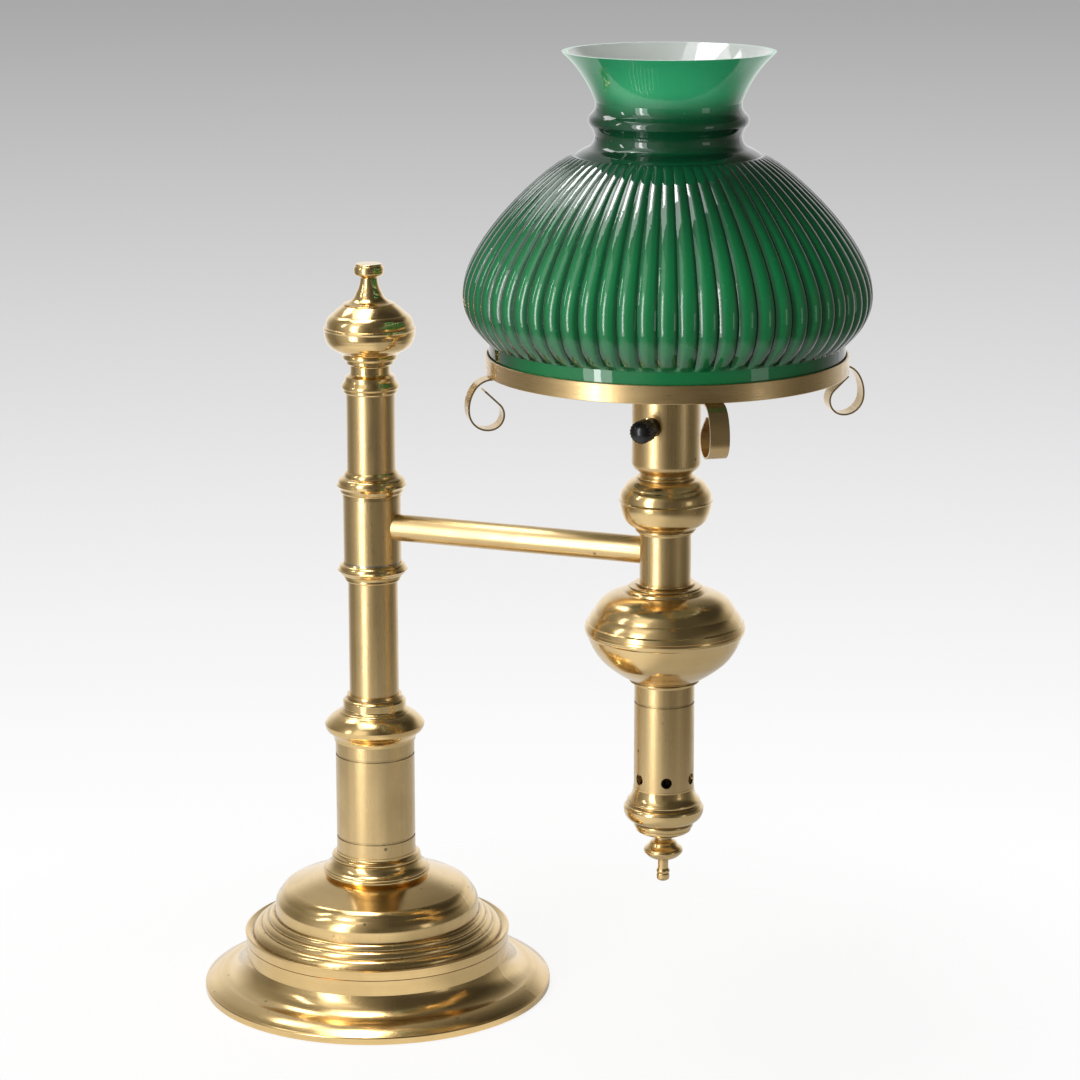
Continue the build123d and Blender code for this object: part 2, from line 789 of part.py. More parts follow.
# Nipple that fastens the arm to the sleeve; its tip is also the swivel's stop
arm_bore_r = arm_r - arm_wall
nipple_seat_x = arm_sleeve_r + fit_gap
with BuildPart() as arm_nipple:
    with BuildSketch(Plane.YZ.offset(tip_r)):
        with Locations((0, arm_z)):
            Circle(stop_tip_r)
    extrude(amount=nipple_seat_x - tip_r + nipple_length)
    with BuildSketch(Plane.YZ.offset(nipple_seat_x)):
        with Locations((0, arm_z)):
            Circle(arm_bore_r - fit_gap)
    extrude(amount=nipple_length)
    with BuildSketch(Plane.YZ):
        with Locations((0, arm_z)):
            Circle(nipple_bore_r)
    extrude(amount=reach, mode=Mode.SUBTRACT)
finish(arm_nipple, "arm_nipple")

# Side arm, its ends hollowed to the sleeve and to the burner tube
with BuildPart() as arm_tube:
    with BuildSketch(Plane.YZ):
        with Locations((0, arm_z)):
            Circle(arm_r)
            Circle(arm_bore_r, mode=Mode.SUBTRACT)
    extrude(amount=reach)
    with BuildSketch(Plane.XY.offset(arm_z - arm_r)):
        Circle(arm_sleeve_r + fit_gap)
        with Locations((reach, 0)):
            Circle(burner_tube_r + fit_gap)
    extrude(amount=2 * arm_r, mode=Mode.SUBTRACT)
finish(arm_tube, "arm_tube")

# Ferrule that fastens the arm to the burner tube
ferrule_x = reach - burner_tube_r - fit_gap
with BuildPart() as arm_ferrule:
    with BuildSketch(Plane.YZ.offset(ferrule_x)):
        with Locations((0, arm_z)):
            Circle(arm_bore_r - fit_gap)
    extrude(amount=-nipple_length)
    with BuildSketch(Plane.YZ.offset(ferrule_x)):
        with Locations((0, arm_z)):
            Circle(stop_tip_r)
    extrude(amount=burner_tube_wall)
    with BuildSketch(Plane.YZ):
        with Locations((0, arm_z)):
            Circle(nipple_bore_r)
    extrude(amount=reach, mode=Mode.SUBTRACT)
finish(arm_ferrule, "arm_ferrule")

# Lead inside the arm: from the swivel axis, along the arm and up into the socket
nipple_z = burner_top_z - plug_thick
lead_end_z = socket_z + nipple_top + 1.5 * sheet
with BuildPart() as arm_lead:
    with BuildLine(column):
        arm_route = FilletPolyline(
            (0, lead_top_z),
            (0, arm_z),
            (reach, arm_z),
            (reach, lead_end_z),
            radius=[lead_sweep - 0.1, lead_sweep - 0.1],
        )
    with BuildSketch(Plane(arm_route @ 0, z_dir=arm_route % 0)):
        Circle(lead_r)
    sweep()
finish(arm_lead, "arm_lead")

# Burner tube with a screwed plug in each end
with BuildPart() as burner_tube:
    with BuildSketch(Plane.XY.offset(font_top_z)):
        with Locations((reach, 0)):
            Circle(burner_tube_r)
            Circle(burner_tube_r - burner_tube_wall, mode=Mode.SUBTRACT)
    extrude(amount=burner_top_z - font_top_z)
    with BuildSketch(Plane.YZ):
        with Locations((0, arm_z)):
            Circle(stop_tip_r + fit_gap)
    extrude(amount=reach, mode=Mode.SUBTRACT)
finish(burner_tube, "burner_tube")

plug_r = burner_tube_r - burner_tube_wall - fit_gap
with BuildPart() as upper_plug:
    with BuildSketch(Plane.XY.offset(nipple_z)):
        with Locations((reach, 0)):
            Circle(plug_r)
            Circle(nipple_r + fit_gap, mode=Mode.SUBTRACT)
    extrude(amount=plug_thick)
finish(upper_plug, "upper_plug")

with BuildPart() as lower_plug:
    with BuildSketch(Plane.XY.offset(font_top_z)):
        with Locations((reach, 0)):
            Circle(plug_r)
            Circle(rod_hole_r, mode=Mode.SUBTRACT)
    extrude(amount=plug_thick)
finish(lower_plug, "lower_plug")

# Hollow nipple from the upper plug to the socket
with BuildPart() as socket_nipple:
    with BuildSketch(Plane.XY.offset(nipple_z)):
        with Locations((reach, 0)):
            Circle(nipple_r)
            Circle(pipe_bore_r, mode=Mode.SUBTRACT)
    extrude(amount=socket_z + nipple_top - nipple_z)
finish(socket_nipple, "socket_nipple")

# Rod that draws the font, the canister and the cup up to the lower plug
drop_top_z = cup_z
rod_foot_z = drop_top_z - drop_height + 4 * bead
with BuildPart() as burner_rod:
    with BuildSketch(Plane.XY.offset(rod_foot_z)):
        with Locations((reach, 0)):
            Circle(burner_rod_r)
    extrude(amount=font_top_z + plug_thick - rod_foot_z)
finish(burner_rod, "burner_rod")

# Ball under the socket, two spun halves
nipple_hole_r = nipple_r + fit_gap
with BuildPart() as ball_lower:
    with BuildSketch(burner):
        with BuildLine():
            outline(
                (nipple_hole_r, burner_top_z),
                (burner_tube_r + bead, burner_top_z),
                (burner_tube_r + 1.2 * bead, burner_top_z + bead),
                (ball_bead_r, burner_top_z + 1.6 * bead),
                (ball_bead_r, burner_top_z + 3.2 * bead, 0.3 * bead),
                (ball_bead_r + bead, burner_top_z + 4.5 * bead),
                (ball_r - 3 * bead, burner_top_z + 10 * bead, bead),
                (ball_r - 0.5 * bead, ball_seam_z, 0.6 * bead),
                (ball_r - 0.5 * bead - sheet, ball_seam_z),
                (ball_r - 3 * bead - sheet, burner_top_z + 10 * bead, 0.6 * bead),
                (ball_bead_r - sheet, burner_top_z + 4.5 * bead, bead),
                (burner_tube_r - sheet, burner_top_z + sheet),
                (nipple_hole_r, burner_top_z + sheet),
            )
        make_face()
    revolve(axis=burner_axis)
finish(ball_lower, "ball_lower")

with BuildPart() as ball_upper:
    with BuildSketch(burner):
        with BuildLine():
            outline(
                (ball_r - sheet, ball_seam_z),
                (ball_r - 0.5 * bead, ball_seam_z),
                (ball_r, ball_seam_z + 0.6 * bead),
                (ball_r - 0.8 * bead, ball_seam_z + 1.4 * bead),
                (ball_r - 3.8 * bead, socket_z - 8.5 * bead, bead),
                (ball_lip_r + bead, socket_z - 3.6 * bead, bead),
                (ball_lip_r, socket_z - 3 * bead),
                (ball_lip_r, socket_z - 1.6 * bead, 0.3 * bead),
                (ball_neck_r, socket_z - bead),
                (ball_neck_r, socket_z),
                (nipple_hole_r, socket_z),
                (nipple_hole_r, socket_z - sheet),
                (ball_lip_r - sheet, socket_z - 3 * bead - sheet),
                (ball_r - 3.8 * bead - sheet, socket_z - 8.5 * bead, bead),
                (ball_r - sheet - bead, ball_seam_z + 1.4 * bead, bead),
            )
        make_face()
    revolve(axis=burner_axis)
finish(ball_upper, "ball_upper")

# Font: a stepped upper shell and a deep lower shell that meet at a sharp seam
ledge_z = font_top_z - font_ledge_drop
with BuildPart() as font_upper:
    with BuildSketch(burner):
        with BuildLine():
            outline(
                (font_r - sheet, font_seam_z),
                (font_r - 0.5 * bead, font_seam_z),
                (font_r, font_seam_z + 0.6 * bead),
                (font_r - bead, font_seam_z + 3.4 * bead),
                (font_r - 2 * bead, font_seam_z + 4.2 * bead),
                (font_r - 6 * bead, font_seam_z + 10.5 * bead, 0.4 * bead),
                (font_ledge_r, ledge_z, bead),
                (font_neck_r + 3.4 * bead, font_top_z - 6 * bead, 0.5 * bead),
                (font_neck_r + 2.8 * bead, font_top_z - 4.6 * bead),
                (font_neck_r, font_top_z - 3.4 * bead, 0.3 * bead),
                (font_neck_r, font_top_z - 2.4 * bead, 0.2 * bead),
                (font_lip_r, font_top_z - 1.6 * bead),
                (font_lip_r, font_top_z, 0.3 * bead),
                (rod_hole_r, font_top_z),
                (rod_hole_r, font_top_z - sheet),
                (font_lip_r - sheet, font_top_z - sheet),
                (font_lip_r, font_top_z - 6 * bead),
                (font_ledge_r - sheet, ledge_z - sheet, 0.4 * bead),
                (font_r - 6 * bead - sheet, font_seam_z + 10 * bead - sheet, bead),
                (font_r - sheet - 2 * bead, font_seam_z + 3 * bead, 0.4 * bead),
            )
        make_face()
    revolve(axis=burner_axis)
finish(font_upper, "font_upper")

with BuildPart() as font_lower:
    with BuildSketch(burner):
        with BuildLine():
            outline(
                (rod_hole_r, canister_top_z),
                (canister_r + 0.6 * bead, canister_top_z),
                (canister_r + 0.8 * bead, canister_top_z + bead),
                (font_foot_r, canister_top_z + 1.6 * bead),
                (font_foot_r, canister_top_z + 2.8 * bead, 0.3 * bead),
                (font_foot_r + 1.4 * bead, canister_top_z + 4 * bead),
                (font_r - 12 * bead, canister_top_z + 15 * bead, 0.6 * bead),
                (font_r - 1.7 * bead, font_seam_z - 4.6 * bead, 1.3 * bead),
                (font_r - 1.3 * bead, font_seam_z - 4.2 * bead),
                (font_r - 0.3 * bead, font_seam_z - 2 * bead, 0.3 * bead),
                (font_r - 0.4 * bead, font_seam_z, 0.2 * bead),
                (font_r - 1.7 * bead - sheet, font_seam_z),
                (font_r - 1.7 * bead - sheet, font_seam_z - 4.6 * bead),
                (font_r - 12 * bead - sheet, canister_top_z + 15 * bead + sheet, 1.3 * bead),
                (font_foot_r + bead - sheet, canister_top_z + 4 * bead + sheet, 0.6 * bead),
                (canister_r - sheet, canister_top_z + sheet),
                (rod_hole_r, canister_top_z + sheet),
            )
        make_face()
    revolve(axis=burner_axis)
finish(font_lower, "font_lower")

# Canister: a plain tube with one engraved line and a ring of vents
canister_line_z = canister_top_z - canister_groove_drop
canister_line_r = canister_r - canister_groove
with BuildPart() as canister:
    with BuildSketch(burner):
        with BuildLine():
            outline(
                (canister_r - canister_wall, canister_z),
                (canister_r, canister_z),
                (canister_r, canister_line_z - canister_groove_width),
                (canister_line_r, canister_line_z - canister_groove_width),
                (canister_line_r, canister_line_z),
                (canister_r, canister_line_z),
                (canister_r, canister_top_z),
                (canister_r - canister_wall, canister_top_z),
            )
        make_face()
    revolve(axis=burner_axis)
    for vent in range(vent_count):
        turn = radians(vent_turn + 360 / vent_count * vent)
        with BuildSketch(Plane(origin=(reach, 0, canister_z + vent_height), z_dir=(cos(turn), sin(turn), 0))):
            Circle(vent_r)
        extrude(amount=2 * canister_r, mode=Mode.SUBTRACT)
finish(canister, "canister")

# Drip cup under the canister
belly_z = cup_z + cup_belly_height
with BuildPart() as drip_cup:
    with BuildSketch(burner):
        with BuildLine():
            outline(
                (rod_hole_r, cup_z),
                (cup_foot_r, cup_z),
                (cup_foot_r + 1.4 * bead, cup_z + bead, -0.2 * bead),
                (cup_bowl_r - 1.6 * bead, cup_z + 3.6 * bead, 0.7 * bead),
                (cup_bowl_r - 1.4 * bead, cup_z + 5.2 * bead, 0.1 * bead),
                (cup_bowl_r - 0.6 * bead, cup_z + 5.8 * bead),
                (cup_bowl_r - 0.2 * bead, cup_z + 8.6 * bead, 0.3 * bead),
                (cup_bowl_r - 0.9 * bead, cup_z + 9.4 * bead),
                (cup_bowl_r + 0.6 * bead, cup_z + 9.8 * bead),
                (cup_r, belly_z, 1.7 * bead),
                (cup_r - 2.4 * bead, belly_z + 3.6 * bead, bead),
                (cup_r - 3 * bead, belly_z + 4.2 * bead),
                (cup_r - 2.2 * bead, belly_z + 5 * bead),
                (cup_r - 2.6 * bead, belly_z + 6.8 * bead, 0.3 * bead),
                (canister_r + 0.6 * bead, canister_z - 3.2 * bead, -0.5 * bead),
                (canister_r + 0.3 * bead, canister_z - bead),
                (canister_r + 0.3 * bead, canister_z),
                (cup_bowl_r - 3 * sheet, canister_z),
                (cup_bowl_r - 3 * sheet, cup_z + 6 * bead),
                (rod_hole_r, cup_z + 3 * sheet),
            )
        make_face()
    revolve(axis=burner_axis)
finish(drip_cup, "drip_cup")

# Turned drop that screws on the rod and closes the burner
drop_z = drop_top_z - drop_height
tip_z = drop_z - drop_tip_height
with BuildPart() as bottom_finial:
    with BuildSketch(burner):
        with BuildLine():
            outline(
                (0, tip_z),
                (drop_tip_r - bead, tip_z),
                (drop_tip_r, tip_z + 2 * bead, 0.3 * bead),
                (drop_tip_r, tip_z + 4 * bead),
                (drop_tip_r - 0.4 * bead, tip_z + 4.6 * bead),
                (drop_tip_r, tip_z + 5.4 * bead),
                (drop_tip_r, tip_z + 7 * bead, 0.2 * bead),
                (drop_waist_r, tip_z + 8 * bead),
                (drop_waist_r, drop_z - 0.5 * bead),
                (drop_waist_r + 2 * bead, drop_z + 0.5 * bead, -0.2 * bead),
                (drop_r - bead, drop_z + 4 * bead, 0.7 * bead),
                (drop_r - bead, drop_z + 8 * bead, bead),
                (drop_r - 4 * bead, drop_z + 11.2 * bead, -0.3 * bead),
                (drop_r - 4.6 * bead, drop_z + 12 * bead),
                (drop_neck_r, drop_top_z - 2.4 * bead, -0.5 * bead),
                (drop_neck_r, drop_top_z - 1.4 * bead),
                (cup_foot_r - 0.4 * bead, drop_top_z - 0.4 * bead, -0.2 * bead),
                (cup_foot_r - 0.4 * bead, drop_top_z),
                (rod_hole_r, drop_top_z),
                (rod_hole_r, rod_foot_z - fit_gap),
                (0, rod_foot_z - fit_gap),
            )
        make_face()
    revolve(axis=burner_axis)
finish(bottom_finial, "bottom_finial")

# Nut inside the canister that locks the rod under the font
with BuildPart() as rod_nut:
    with BuildSketch(Plane.XY.offset(canister_top_z - nut_thick)):
        with Locations((reach, 0)):
            RegularPolygon(nut_flats / 2, 6, major_radius=False)
            Circle(rod_hole_r, mode=Mode.SUBTRACT)
    extrude(amount=nut_thick)
finish(rod_nut, "rod_nut")

# Socket shell, drawn from sheet with a rounded foot
switch_z = socket_z + switch_height
round_z = socket_z + socket_round
inner_r = socket_r - socket_wall
with BuildPart() as socket_shell:
    with BuildSketch(burner):
        with BuildLine():
            outline(
                (nipple_hole_r, socket_z),
                (ball_neck_r, socket_z),
                (ball_neck_r + 0.5 * bead, socket_z + bead),
                (ball_neck_r + 2 * bead, socket_z + 2.4 * bead),
                (socket_r, round_z, bead),
                (socket_r, socket_top_z),
                (inner_r, socket_top_z),
                (inner_r, round_z),
                (ball_neck_r + bead, socket_z + 3 * bead, bead),
                (ball_neck_r - bead, socket_z + sheet),
                (nipple_hole_r, socket_z + sheet),
            )
        make_face()
    revolve(axis=burner_axis)
    with BuildSketch(Plane(origin=(reach, 0, switch_z), z_dir=switch_way)):
        Circle(bushing_tube_r + fit_gap)
    extrude(amount=2 * socket_r, mode=Mode.SUBTRACT)
finish(socket_shell, "socket_shell")

# Insulating core with the switch pocket, standing over the nipple
core_z = socket_z + 4 * sheet
with BuildPart() as socket_core:
    with BuildSketch(Plane.XY.offset(core_z)):
        with Locations((reach, 0)):
            Circle(core_r - 2 * sheet)
    extrude(amount=sheet + bead)
    with BuildSketch(Plane.XY.offset(core_z + sheet + bead)):
        with Locations((reach, 0)):
            Circle(core_r)
    extrude(amount=core_height - sheet - bead)
    with BuildSketch(Plane.XY.offset(core_z)):
        with Locations((reach, 0)):
            Circle(nipple_r + bead)
    extrude(amount=nipple_top, mode=Mode.SUBTRACT)
    with BuildSketch(Plane(origin=(reach, 0, switch_z), z_dir=switch_way)):
        Circle(bushing_tube_r + 2 * fit_gap)
    extrude(amount=2 * core_r, mode=Mode.SUBTRACT)
finish(socket_core, "socket_core")

# Threaded rim around the screw shell, which takes the shade holder
with BuildPart() as socket_rim:
    with BuildSketch(Plane.XY.offset(core_top_z)):
        with Locations((reach, 0)):
            Circle(rim_r)
            Circle(rim_r - rim_wall, mode=Mode.SUBTRACT)
    extrude(amount=rim_height)
finish(socket_rim, "socket_rim")

with BuildPart() as screw_shell:
    with BuildSketch(Plane.XY.offset(core_top_z)):
        with Locations((reach, 0)):
            Circle(screw_shell_r)
            Circle(screw_shell_r - screw_shell_wall, mode=Mode.SUBTRACT)
    extrude(amount=rim_height - bead)
finish(screw_shell, "screw_shell")

with BuildPart() as centre_contact:
    with BuildSketch(Plane.XY.offset(core_top_z)):
        with Locations((reach, 0)):
            Circle(contact_r)
    extrude(amount=contact_thick)
finish(centre_contact, "centre_contact")

# Bushing that carries the switch's shaft through the shell
front = Plane(origin=(reach, 0, switch_z), z_dir=switch_way).offset(socket_r)
bushing_bore_r = shaft_r + run_gap
with BuildPart() as switch_bushing:
    with BuildSketch(front):
        Circle(bushing_r)
    extrude(amount=bushing_flange)
    with BuildSketch(front):
        Circle(bushing_tube_r)
    extrude(amount=-bushing_depth)
    with BuildSketch(front.offset(bushing_flange)):
        Circle(bushing_bore_r)
    extrude(amount=-bushing_flange - bushing_depth, mode=Mode.SUBTRACT)
finish(switch_bushing, "switch_bushing")

# Shaft and fluted knob of the turn switch
knob_face = bushing_flange + rest_gap
with BuildPart() as switch_shaft:
    with BuildSketch(front.offset(knob_face + knob_neck)):
        Circle(shaft_r)
    extrude(amount=-knob_face - knob_neck - bushing_depth - shaft_tail)
finish(switch_shaft, "switch_shaft")

knob_seat = knob_face + knob_neck
knob_end = knob_seat + knob_length
crown_r = (knob_r**2 + knob_crown**2) / (2 * knob_crown)
crown_turn = asin(knob_r / crown_r) / 2
crown_middle = (knob_end - crown_r * (1 - cos(crown_turn)), crown_r * sin(crown_turn))
with BuildPart() as switch_knob:
    with BuildSketch(front.offset(knob_face)):
        Circle(knob_neck_r)
    extrude(amount=knob_neck)
    with BuildSketch(front.offset(knob_seat)):
        Circle(knob_r)
        with PolarLocations(knob_r, knob_flutes):
            Circle(knob_flute_r, mode=Mode.SUBTRACT)
    extrude(amount=knob_length)
    with BuildSketch(Plane(origin=front.origin, x_dir=switch_way, z_dir=(switch_way[1], -switch_way[0], 0))):
        with BuildLine():
            ThreePointArc((knob_end - knob_crown, knob_r), crown_middle, (knob_end, 0))
            Polyline(
                (knob_end, 0),
                (knob_end + bead, 0),
                (knob_end + bead, knob_r + bead),
                (knob_end - knob_crown, knob_r + bead),
                (knob_end - knob_crown, knob_r),
            )
        make_face()
    revolve(axis=Axis(front.origin, switch_way), mode=Mode.SUBTRACT)
    with BuildSketch(front.offset(knob_face)):
        Circle(shaft_r + fit_gap)
    extrude(amount=knob_neck, mode=Mode.SUBTRACT)
finish(switch_knob, "switch_knob")

# Shade holder: a hub on the socket's rim, four strips and a rolled ring
hub_bore_r = rim_r + fit_gap
with BuildPart() as holder_hub:
    with BuildSketch(Plane.XY.offset(strip_z - hub_height)):
        with Locations((reach, 0)):
            Circle(hub_r)
            Circle(hub_bore_r, mode=Mode.SUBTRACT)
    extrude(amount=hub_height)
    chamfer(holder_hub.edges().group_by(Axis.Z)[0].sort_by(SortBy.RADIUS)[-1], length=bead)
finish(holder_hub, "holder_hub")

with BuildPart() as holder_nut:
    with BuildSketch(Plane.XY.offset(ring_z)):
        with Locations((reach, 0)):
            Circle(holder_nut_r)
            Circle(hub_bore_r, mode=Mode.SUBTRACT)
    extrude(amount=holder_nut_thick)
    chamfer(holder_nut.edges().group_by(Axis.Z)[-1].sort_by(SortBy.RADIUS)[-1], length=bead)
finish(holder_nut, "holder_nut")

with BuildPart() as shade_ring:
    with BuildSketch(burner):
        with BuildLine():
            outline(
                (ring_r - ring_thick, ring_z),
                (ring_r - 0.2 * ring_thick, ring_z),
                (ring_r, ring_z + 0.3 * ring_thick),
                (ring_r, ring_z + ring_height - 0.3 * ring_thick),
                (ring_r - 0.3 * ring_thick, ring_z + ring_height),
                (ring_r - ring_thick, ring_z + ring_height),
            )
        make_face()
    revolve(axis=burner_axis)
finish(shade_ring, "shade_ring")

# Each strip runs from the hub under the ring's edge and curls into a scroll
for arm in range(scroll_count):
    turn = radians(scroll_turn + 360 / scroll_count * arm)
    strip_plane = Plane(
        origin=(reach, 0, strip_z + strip_thick / 2),
        x_dir=(cos(turn), sin(turn), 0),
        z_dir=(sin(turn), -cos(turn), 0),
    )
    with BuildPart() as scroll_strip:
        with BuildSketch(strip_plane):
            with BuildLine():
                last = Line((hub_bore_r + bead, 0), (ring_r - scroll_start, 0))
                for bend_r, bend_turn in scroll_bends:
                    last = JernArc(last @ 1, last % 1, bend_r, -bend_turn)
                Line(last @ 1, last @ 1 + (last % 1) * scroll_tail)
            trace(line_width=strip_thick)
        extrude(amount=strip_width / 2, both=True)
    finish(scroll_strip, f"scroll_strip_{arm + 1}")

# Shade: a ribbed dome between a plain fitter band and a beaded, flaring neck
fitter_r = ring_r - ring_thick - fitter_slack
top_row = rib_rows[-1]
with BuildPart() as shade:
    for row_height, crest_r, rib_depth in rib_rows:
        with BuildSketch(Plane.XY.offset(shade_z + row_height)):
            with BuildLine():
                for rib in range(rib_count):
                    a = 2 * pi / rib_count * rib
                    b = a + 2 * pi / rib_count
                    mid = (a + b) / 2
                    valley_r = crest_r - rib_depth
                    ThreePointArc(
                        (reach + valley_r * cos(a), valley_r * sin(a)),
                        (reach + crest_r * cos(mid), crest_r * sin(mid)),
                        (reach + valley_r * cos(b), valley_r * sin(b)),
                    )
            make_face()
    loft()
    with BuildSketch(burner):
        with BuildLine():
            outline(
                (0, shade_z),
                (fitter_r, shade_z),
                (fitter_r, shade_z + fitter_height),
                (fitter_r + 0.4, shade_z + fitter_height + 0.4),
                (0, shade_z + fitter_height + 0.4),
            )
        make_face()
    revolve(axis=burner_axis)
    with BuildSketch(burner):
        with BuildLine():
            outline(
                (0, shade_z + top_row[0] - bead),
                (top_row[1] - bead, shade_z + top_row[0] - bead),
                (shoulder_r, shade_z + shoulder_height, 0.4 * bead),
                (neck_r, shade_z + neck_height, -1.5 * bead),
                (neck_bead_r - bead, shade_z + neck_bead_height - 4 * bead, -0.4 * bead),
                (neck_bead_r - bead, shade_z + neck_bead_height + 2.4 * bead, 1.2 * bead),
                (throat_r, shade_z + throat_height, -0.6 * bead),
                (throat_r, shade_z + throat_height + 3 * bead),
                (flare_r - bead, shade_z + flare_height - bead, -2.2 * bead),
                (flare_r, shade_z + flare_height),
                (0, shade_z + flare_height),
            )
        make_face()
    revolve(axis=burner_axis)
    with BuildSketch(burner):
        with BuildLine():
            Polyline(
                (0, shade_z + flare_height),
                (0, shade_z),
                (fitter_r - glass, shade_z),
                (fitter_r - glass, shade_z + fitter_height),
            )
            Spline(
                (fitter_r - glass, shade_z + fitter_height),
                *((r - depth - glass, shade_z + h) for h, r, depth in rib_rows[2:-1]),
                (shoulder_r - glass, shade_z + shoulder_height - glass),
            )
            inner = Line(
                (shoulder_r - glass, shade_z + shoulder_height - glass), (neck_r - glass, shade_z + neck_height)
            )
            cone = Line(inner @ 1, (throat_r - glass, shade_z + throat_height))
            Line(cone @ 1, (throat_r - glass, shade_z + throat_height + 3 * bead))
            SagittaArc(
                (throat_r - glass, shade_z + throat_height + 3 * bead),
                (flare_r - glass + bead, shade_z + flare_height),
                2.2 * bead,
            )
            Line((flare_r - glass + bead, shade_z + flare_height), (0, shade_z + flare_height))
        make_face()
    revolve(axis=burner_axis, mode=Mode.SUBTRACT)
finish(shade, "shade")

# Bulb: a screw cap and a frosted envelope
bulb_z = core_top_z + contact_thick + rest_gap
with BuildPart() as bulb_cap:
    with BuildSketch(burner):
        with BuildLine():
            outline(
                (0, bulb_z),
                (contact_r, bulb_z),
                (contact_r + bead, bulb_z + bead),
                (bulb_cap_r - 2 * bead, bulb_z + 3 * bead),
                (bulb_cap_r, bulb_z + 5 * bead),
                (bulb_cap_r, bulb_z + bulb_cap_height),
                (0, bulb_z + bulb_cap_height),
            )
        make_face()
    revolve(axis=burner_axis)
finish(bulb_cap, "bulb_cap")

glass_z = bulb_z + bulb_cap_height
globe_z = bulb_z + bulb_height - bulb_r
with BuildPart() as bulb_envelope:
    with BuildSketch(burner):
        with BuildLine():
            outline(
                (0, glass_z),
                (bulb_cap_r - bead, glass_z),
                (bulb_neck_r, glass_z + 4 * bead),
                (bulb_r, globe_z, -2 * bead),
                (bulb_r * cos(radians(45)), globe_z + bulb_r * sin(radians(45)), bulb_r * (1 - cos(radians(22.5)))),
                (0, globe_z + bulb_r, bulb_r * (1 - cos(radians(22.5)))),
                (0, globe_z + bulb_r - bulb_glass),
                (
                    (bulb_r - bulb_glass) * cos(radians(45)),
                    globe_z + (bulb_r - bulb_glass) * sin(radians(45)),
                    (bulb_r - bulb_glass) * (1 - cos(radians(22.5))),
                ),
                (bulb_r - bulb_glass, globe_z, (bulb_r - bulb_glass) * (1 - cos(radians(22.5)))),
                (bulb_neck_r - bulb_glass, glass_z + 4 * bead, -2 * bead),
                (0, glass_z + bulb_glass),
            )
        make_face()
    revolve(axis=burner_axis)
finish(bulb_envelope, "bulb_envelope")

print(f"arm {arm_z:.1f}, column top {stem_top_z + finial_knob_height:.1f}, shade top {shade_z + flare_height:.1f}")
print(f"fitter radius {fitter_r:.1f}, swivel slot {2 * slot_half:.0f} degrees")
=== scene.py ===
# %% [markdown]
# # A brass student lamp with a green glass shade
# The lamp stands on a heavy spun foot. A side arm swings on the column and carries a
# burner-shaped light: canister, font, ball, turn-switch socket and a ribbed shade.
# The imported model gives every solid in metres, in one frame with +Z up. This lesson adds
# the camera, the light and the finishes, and leaves each solid where it is.

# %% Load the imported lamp
import json
import math

import bpy
from mathutils import Matrix, Vector

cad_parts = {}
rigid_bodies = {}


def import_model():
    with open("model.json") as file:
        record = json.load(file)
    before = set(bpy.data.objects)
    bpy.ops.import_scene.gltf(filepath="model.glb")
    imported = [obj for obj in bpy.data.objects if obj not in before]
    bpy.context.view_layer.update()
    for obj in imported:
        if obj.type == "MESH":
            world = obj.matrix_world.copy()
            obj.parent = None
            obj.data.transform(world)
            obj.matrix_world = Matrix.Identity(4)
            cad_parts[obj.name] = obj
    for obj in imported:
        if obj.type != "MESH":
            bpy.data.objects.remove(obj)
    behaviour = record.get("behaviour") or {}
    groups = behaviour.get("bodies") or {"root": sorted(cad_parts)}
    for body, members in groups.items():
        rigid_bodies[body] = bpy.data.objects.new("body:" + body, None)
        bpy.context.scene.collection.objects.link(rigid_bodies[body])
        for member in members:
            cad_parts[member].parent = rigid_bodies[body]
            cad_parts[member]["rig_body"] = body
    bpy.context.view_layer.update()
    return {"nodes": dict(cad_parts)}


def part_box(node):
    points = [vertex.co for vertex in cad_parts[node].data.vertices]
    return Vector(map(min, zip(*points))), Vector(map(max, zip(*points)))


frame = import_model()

# %% [markdown]
# ## Where the lamp is seen from
# The picture is taken from a little above the lamp, with a long lens from one and three
# quarter metres away, so that the foot is an open ellipse and the tubes stay straight.
# A camera is easiest to place from the way it looks: heading and dip give the forward
# direction, and the two other axes follow from it.

# %% Camera
picture_px = 1080
focal_px = 3353.8
eye = Vector((0.7129, -1.5499, 0.6486))
heading = Vector((-0.3707, 0.9287, 0)).normalized()
rightward = heading.cross(Vector((0, 0, 1)))
dip = math.radians(13.35)
forward = heading * math.cos(dip) - Vector((0, 0, math.sin(dip)))
level_up = rightward.cross(forward)
roll = math.radians(-0.083)
side = rightward * math.cos(roll) + level_up * math.sin(roll)
up = level_up * math.cos(roll) - rightward * math.sin(roll)

camera = bpy.data.objects.new("camera", bpy.data.cameras.new("camera"))
camera.data.sensor_width = 36
camera.data.lens = focal_px / picture_px * camera.data.sensor_width
camera.matrix_world = Matrix((
    (side.x, up.x, -forward.x, eye.x),
    (side.y, up.y, -forward.y, eye.y),
    (side.z, up.z, -forward.z, eye.z),
    (0, 0, 0, 1),
))
bpy.context.collection.objects.link(camera)
bpy.context.scene.camera = camera
bpy.context.scene.view_settings.view_transform = "Standard"
print("lens", round(camera.data.lens, 1), "mm")

# %% [markdown]
# ## Short words for node work
# A material is a small graph. Written out in full, each node takes five lines, so a few
# helpers carry the load: one adds a node with its settings, one wires or sets an input,
# and each of the others does one sum, blend or ramp and hands back its result, so that
# they can be nested.

# %% Helpers for shader graphs
def add_node(tree, kind, **settings):
    """Add a node and set its properties."""
    made = tree.nodes.new(kind)
    for name, value in settings.items():
        setattr(made, name, value)
    return made


def feed(tree, socket, value):
    """Wire a socket into an input, or write a plain value there."""
    if isinstance(value, bpy.types.NodeSocket):
        tree.links.new(value, socket)
    else:
        socket.default_value = value


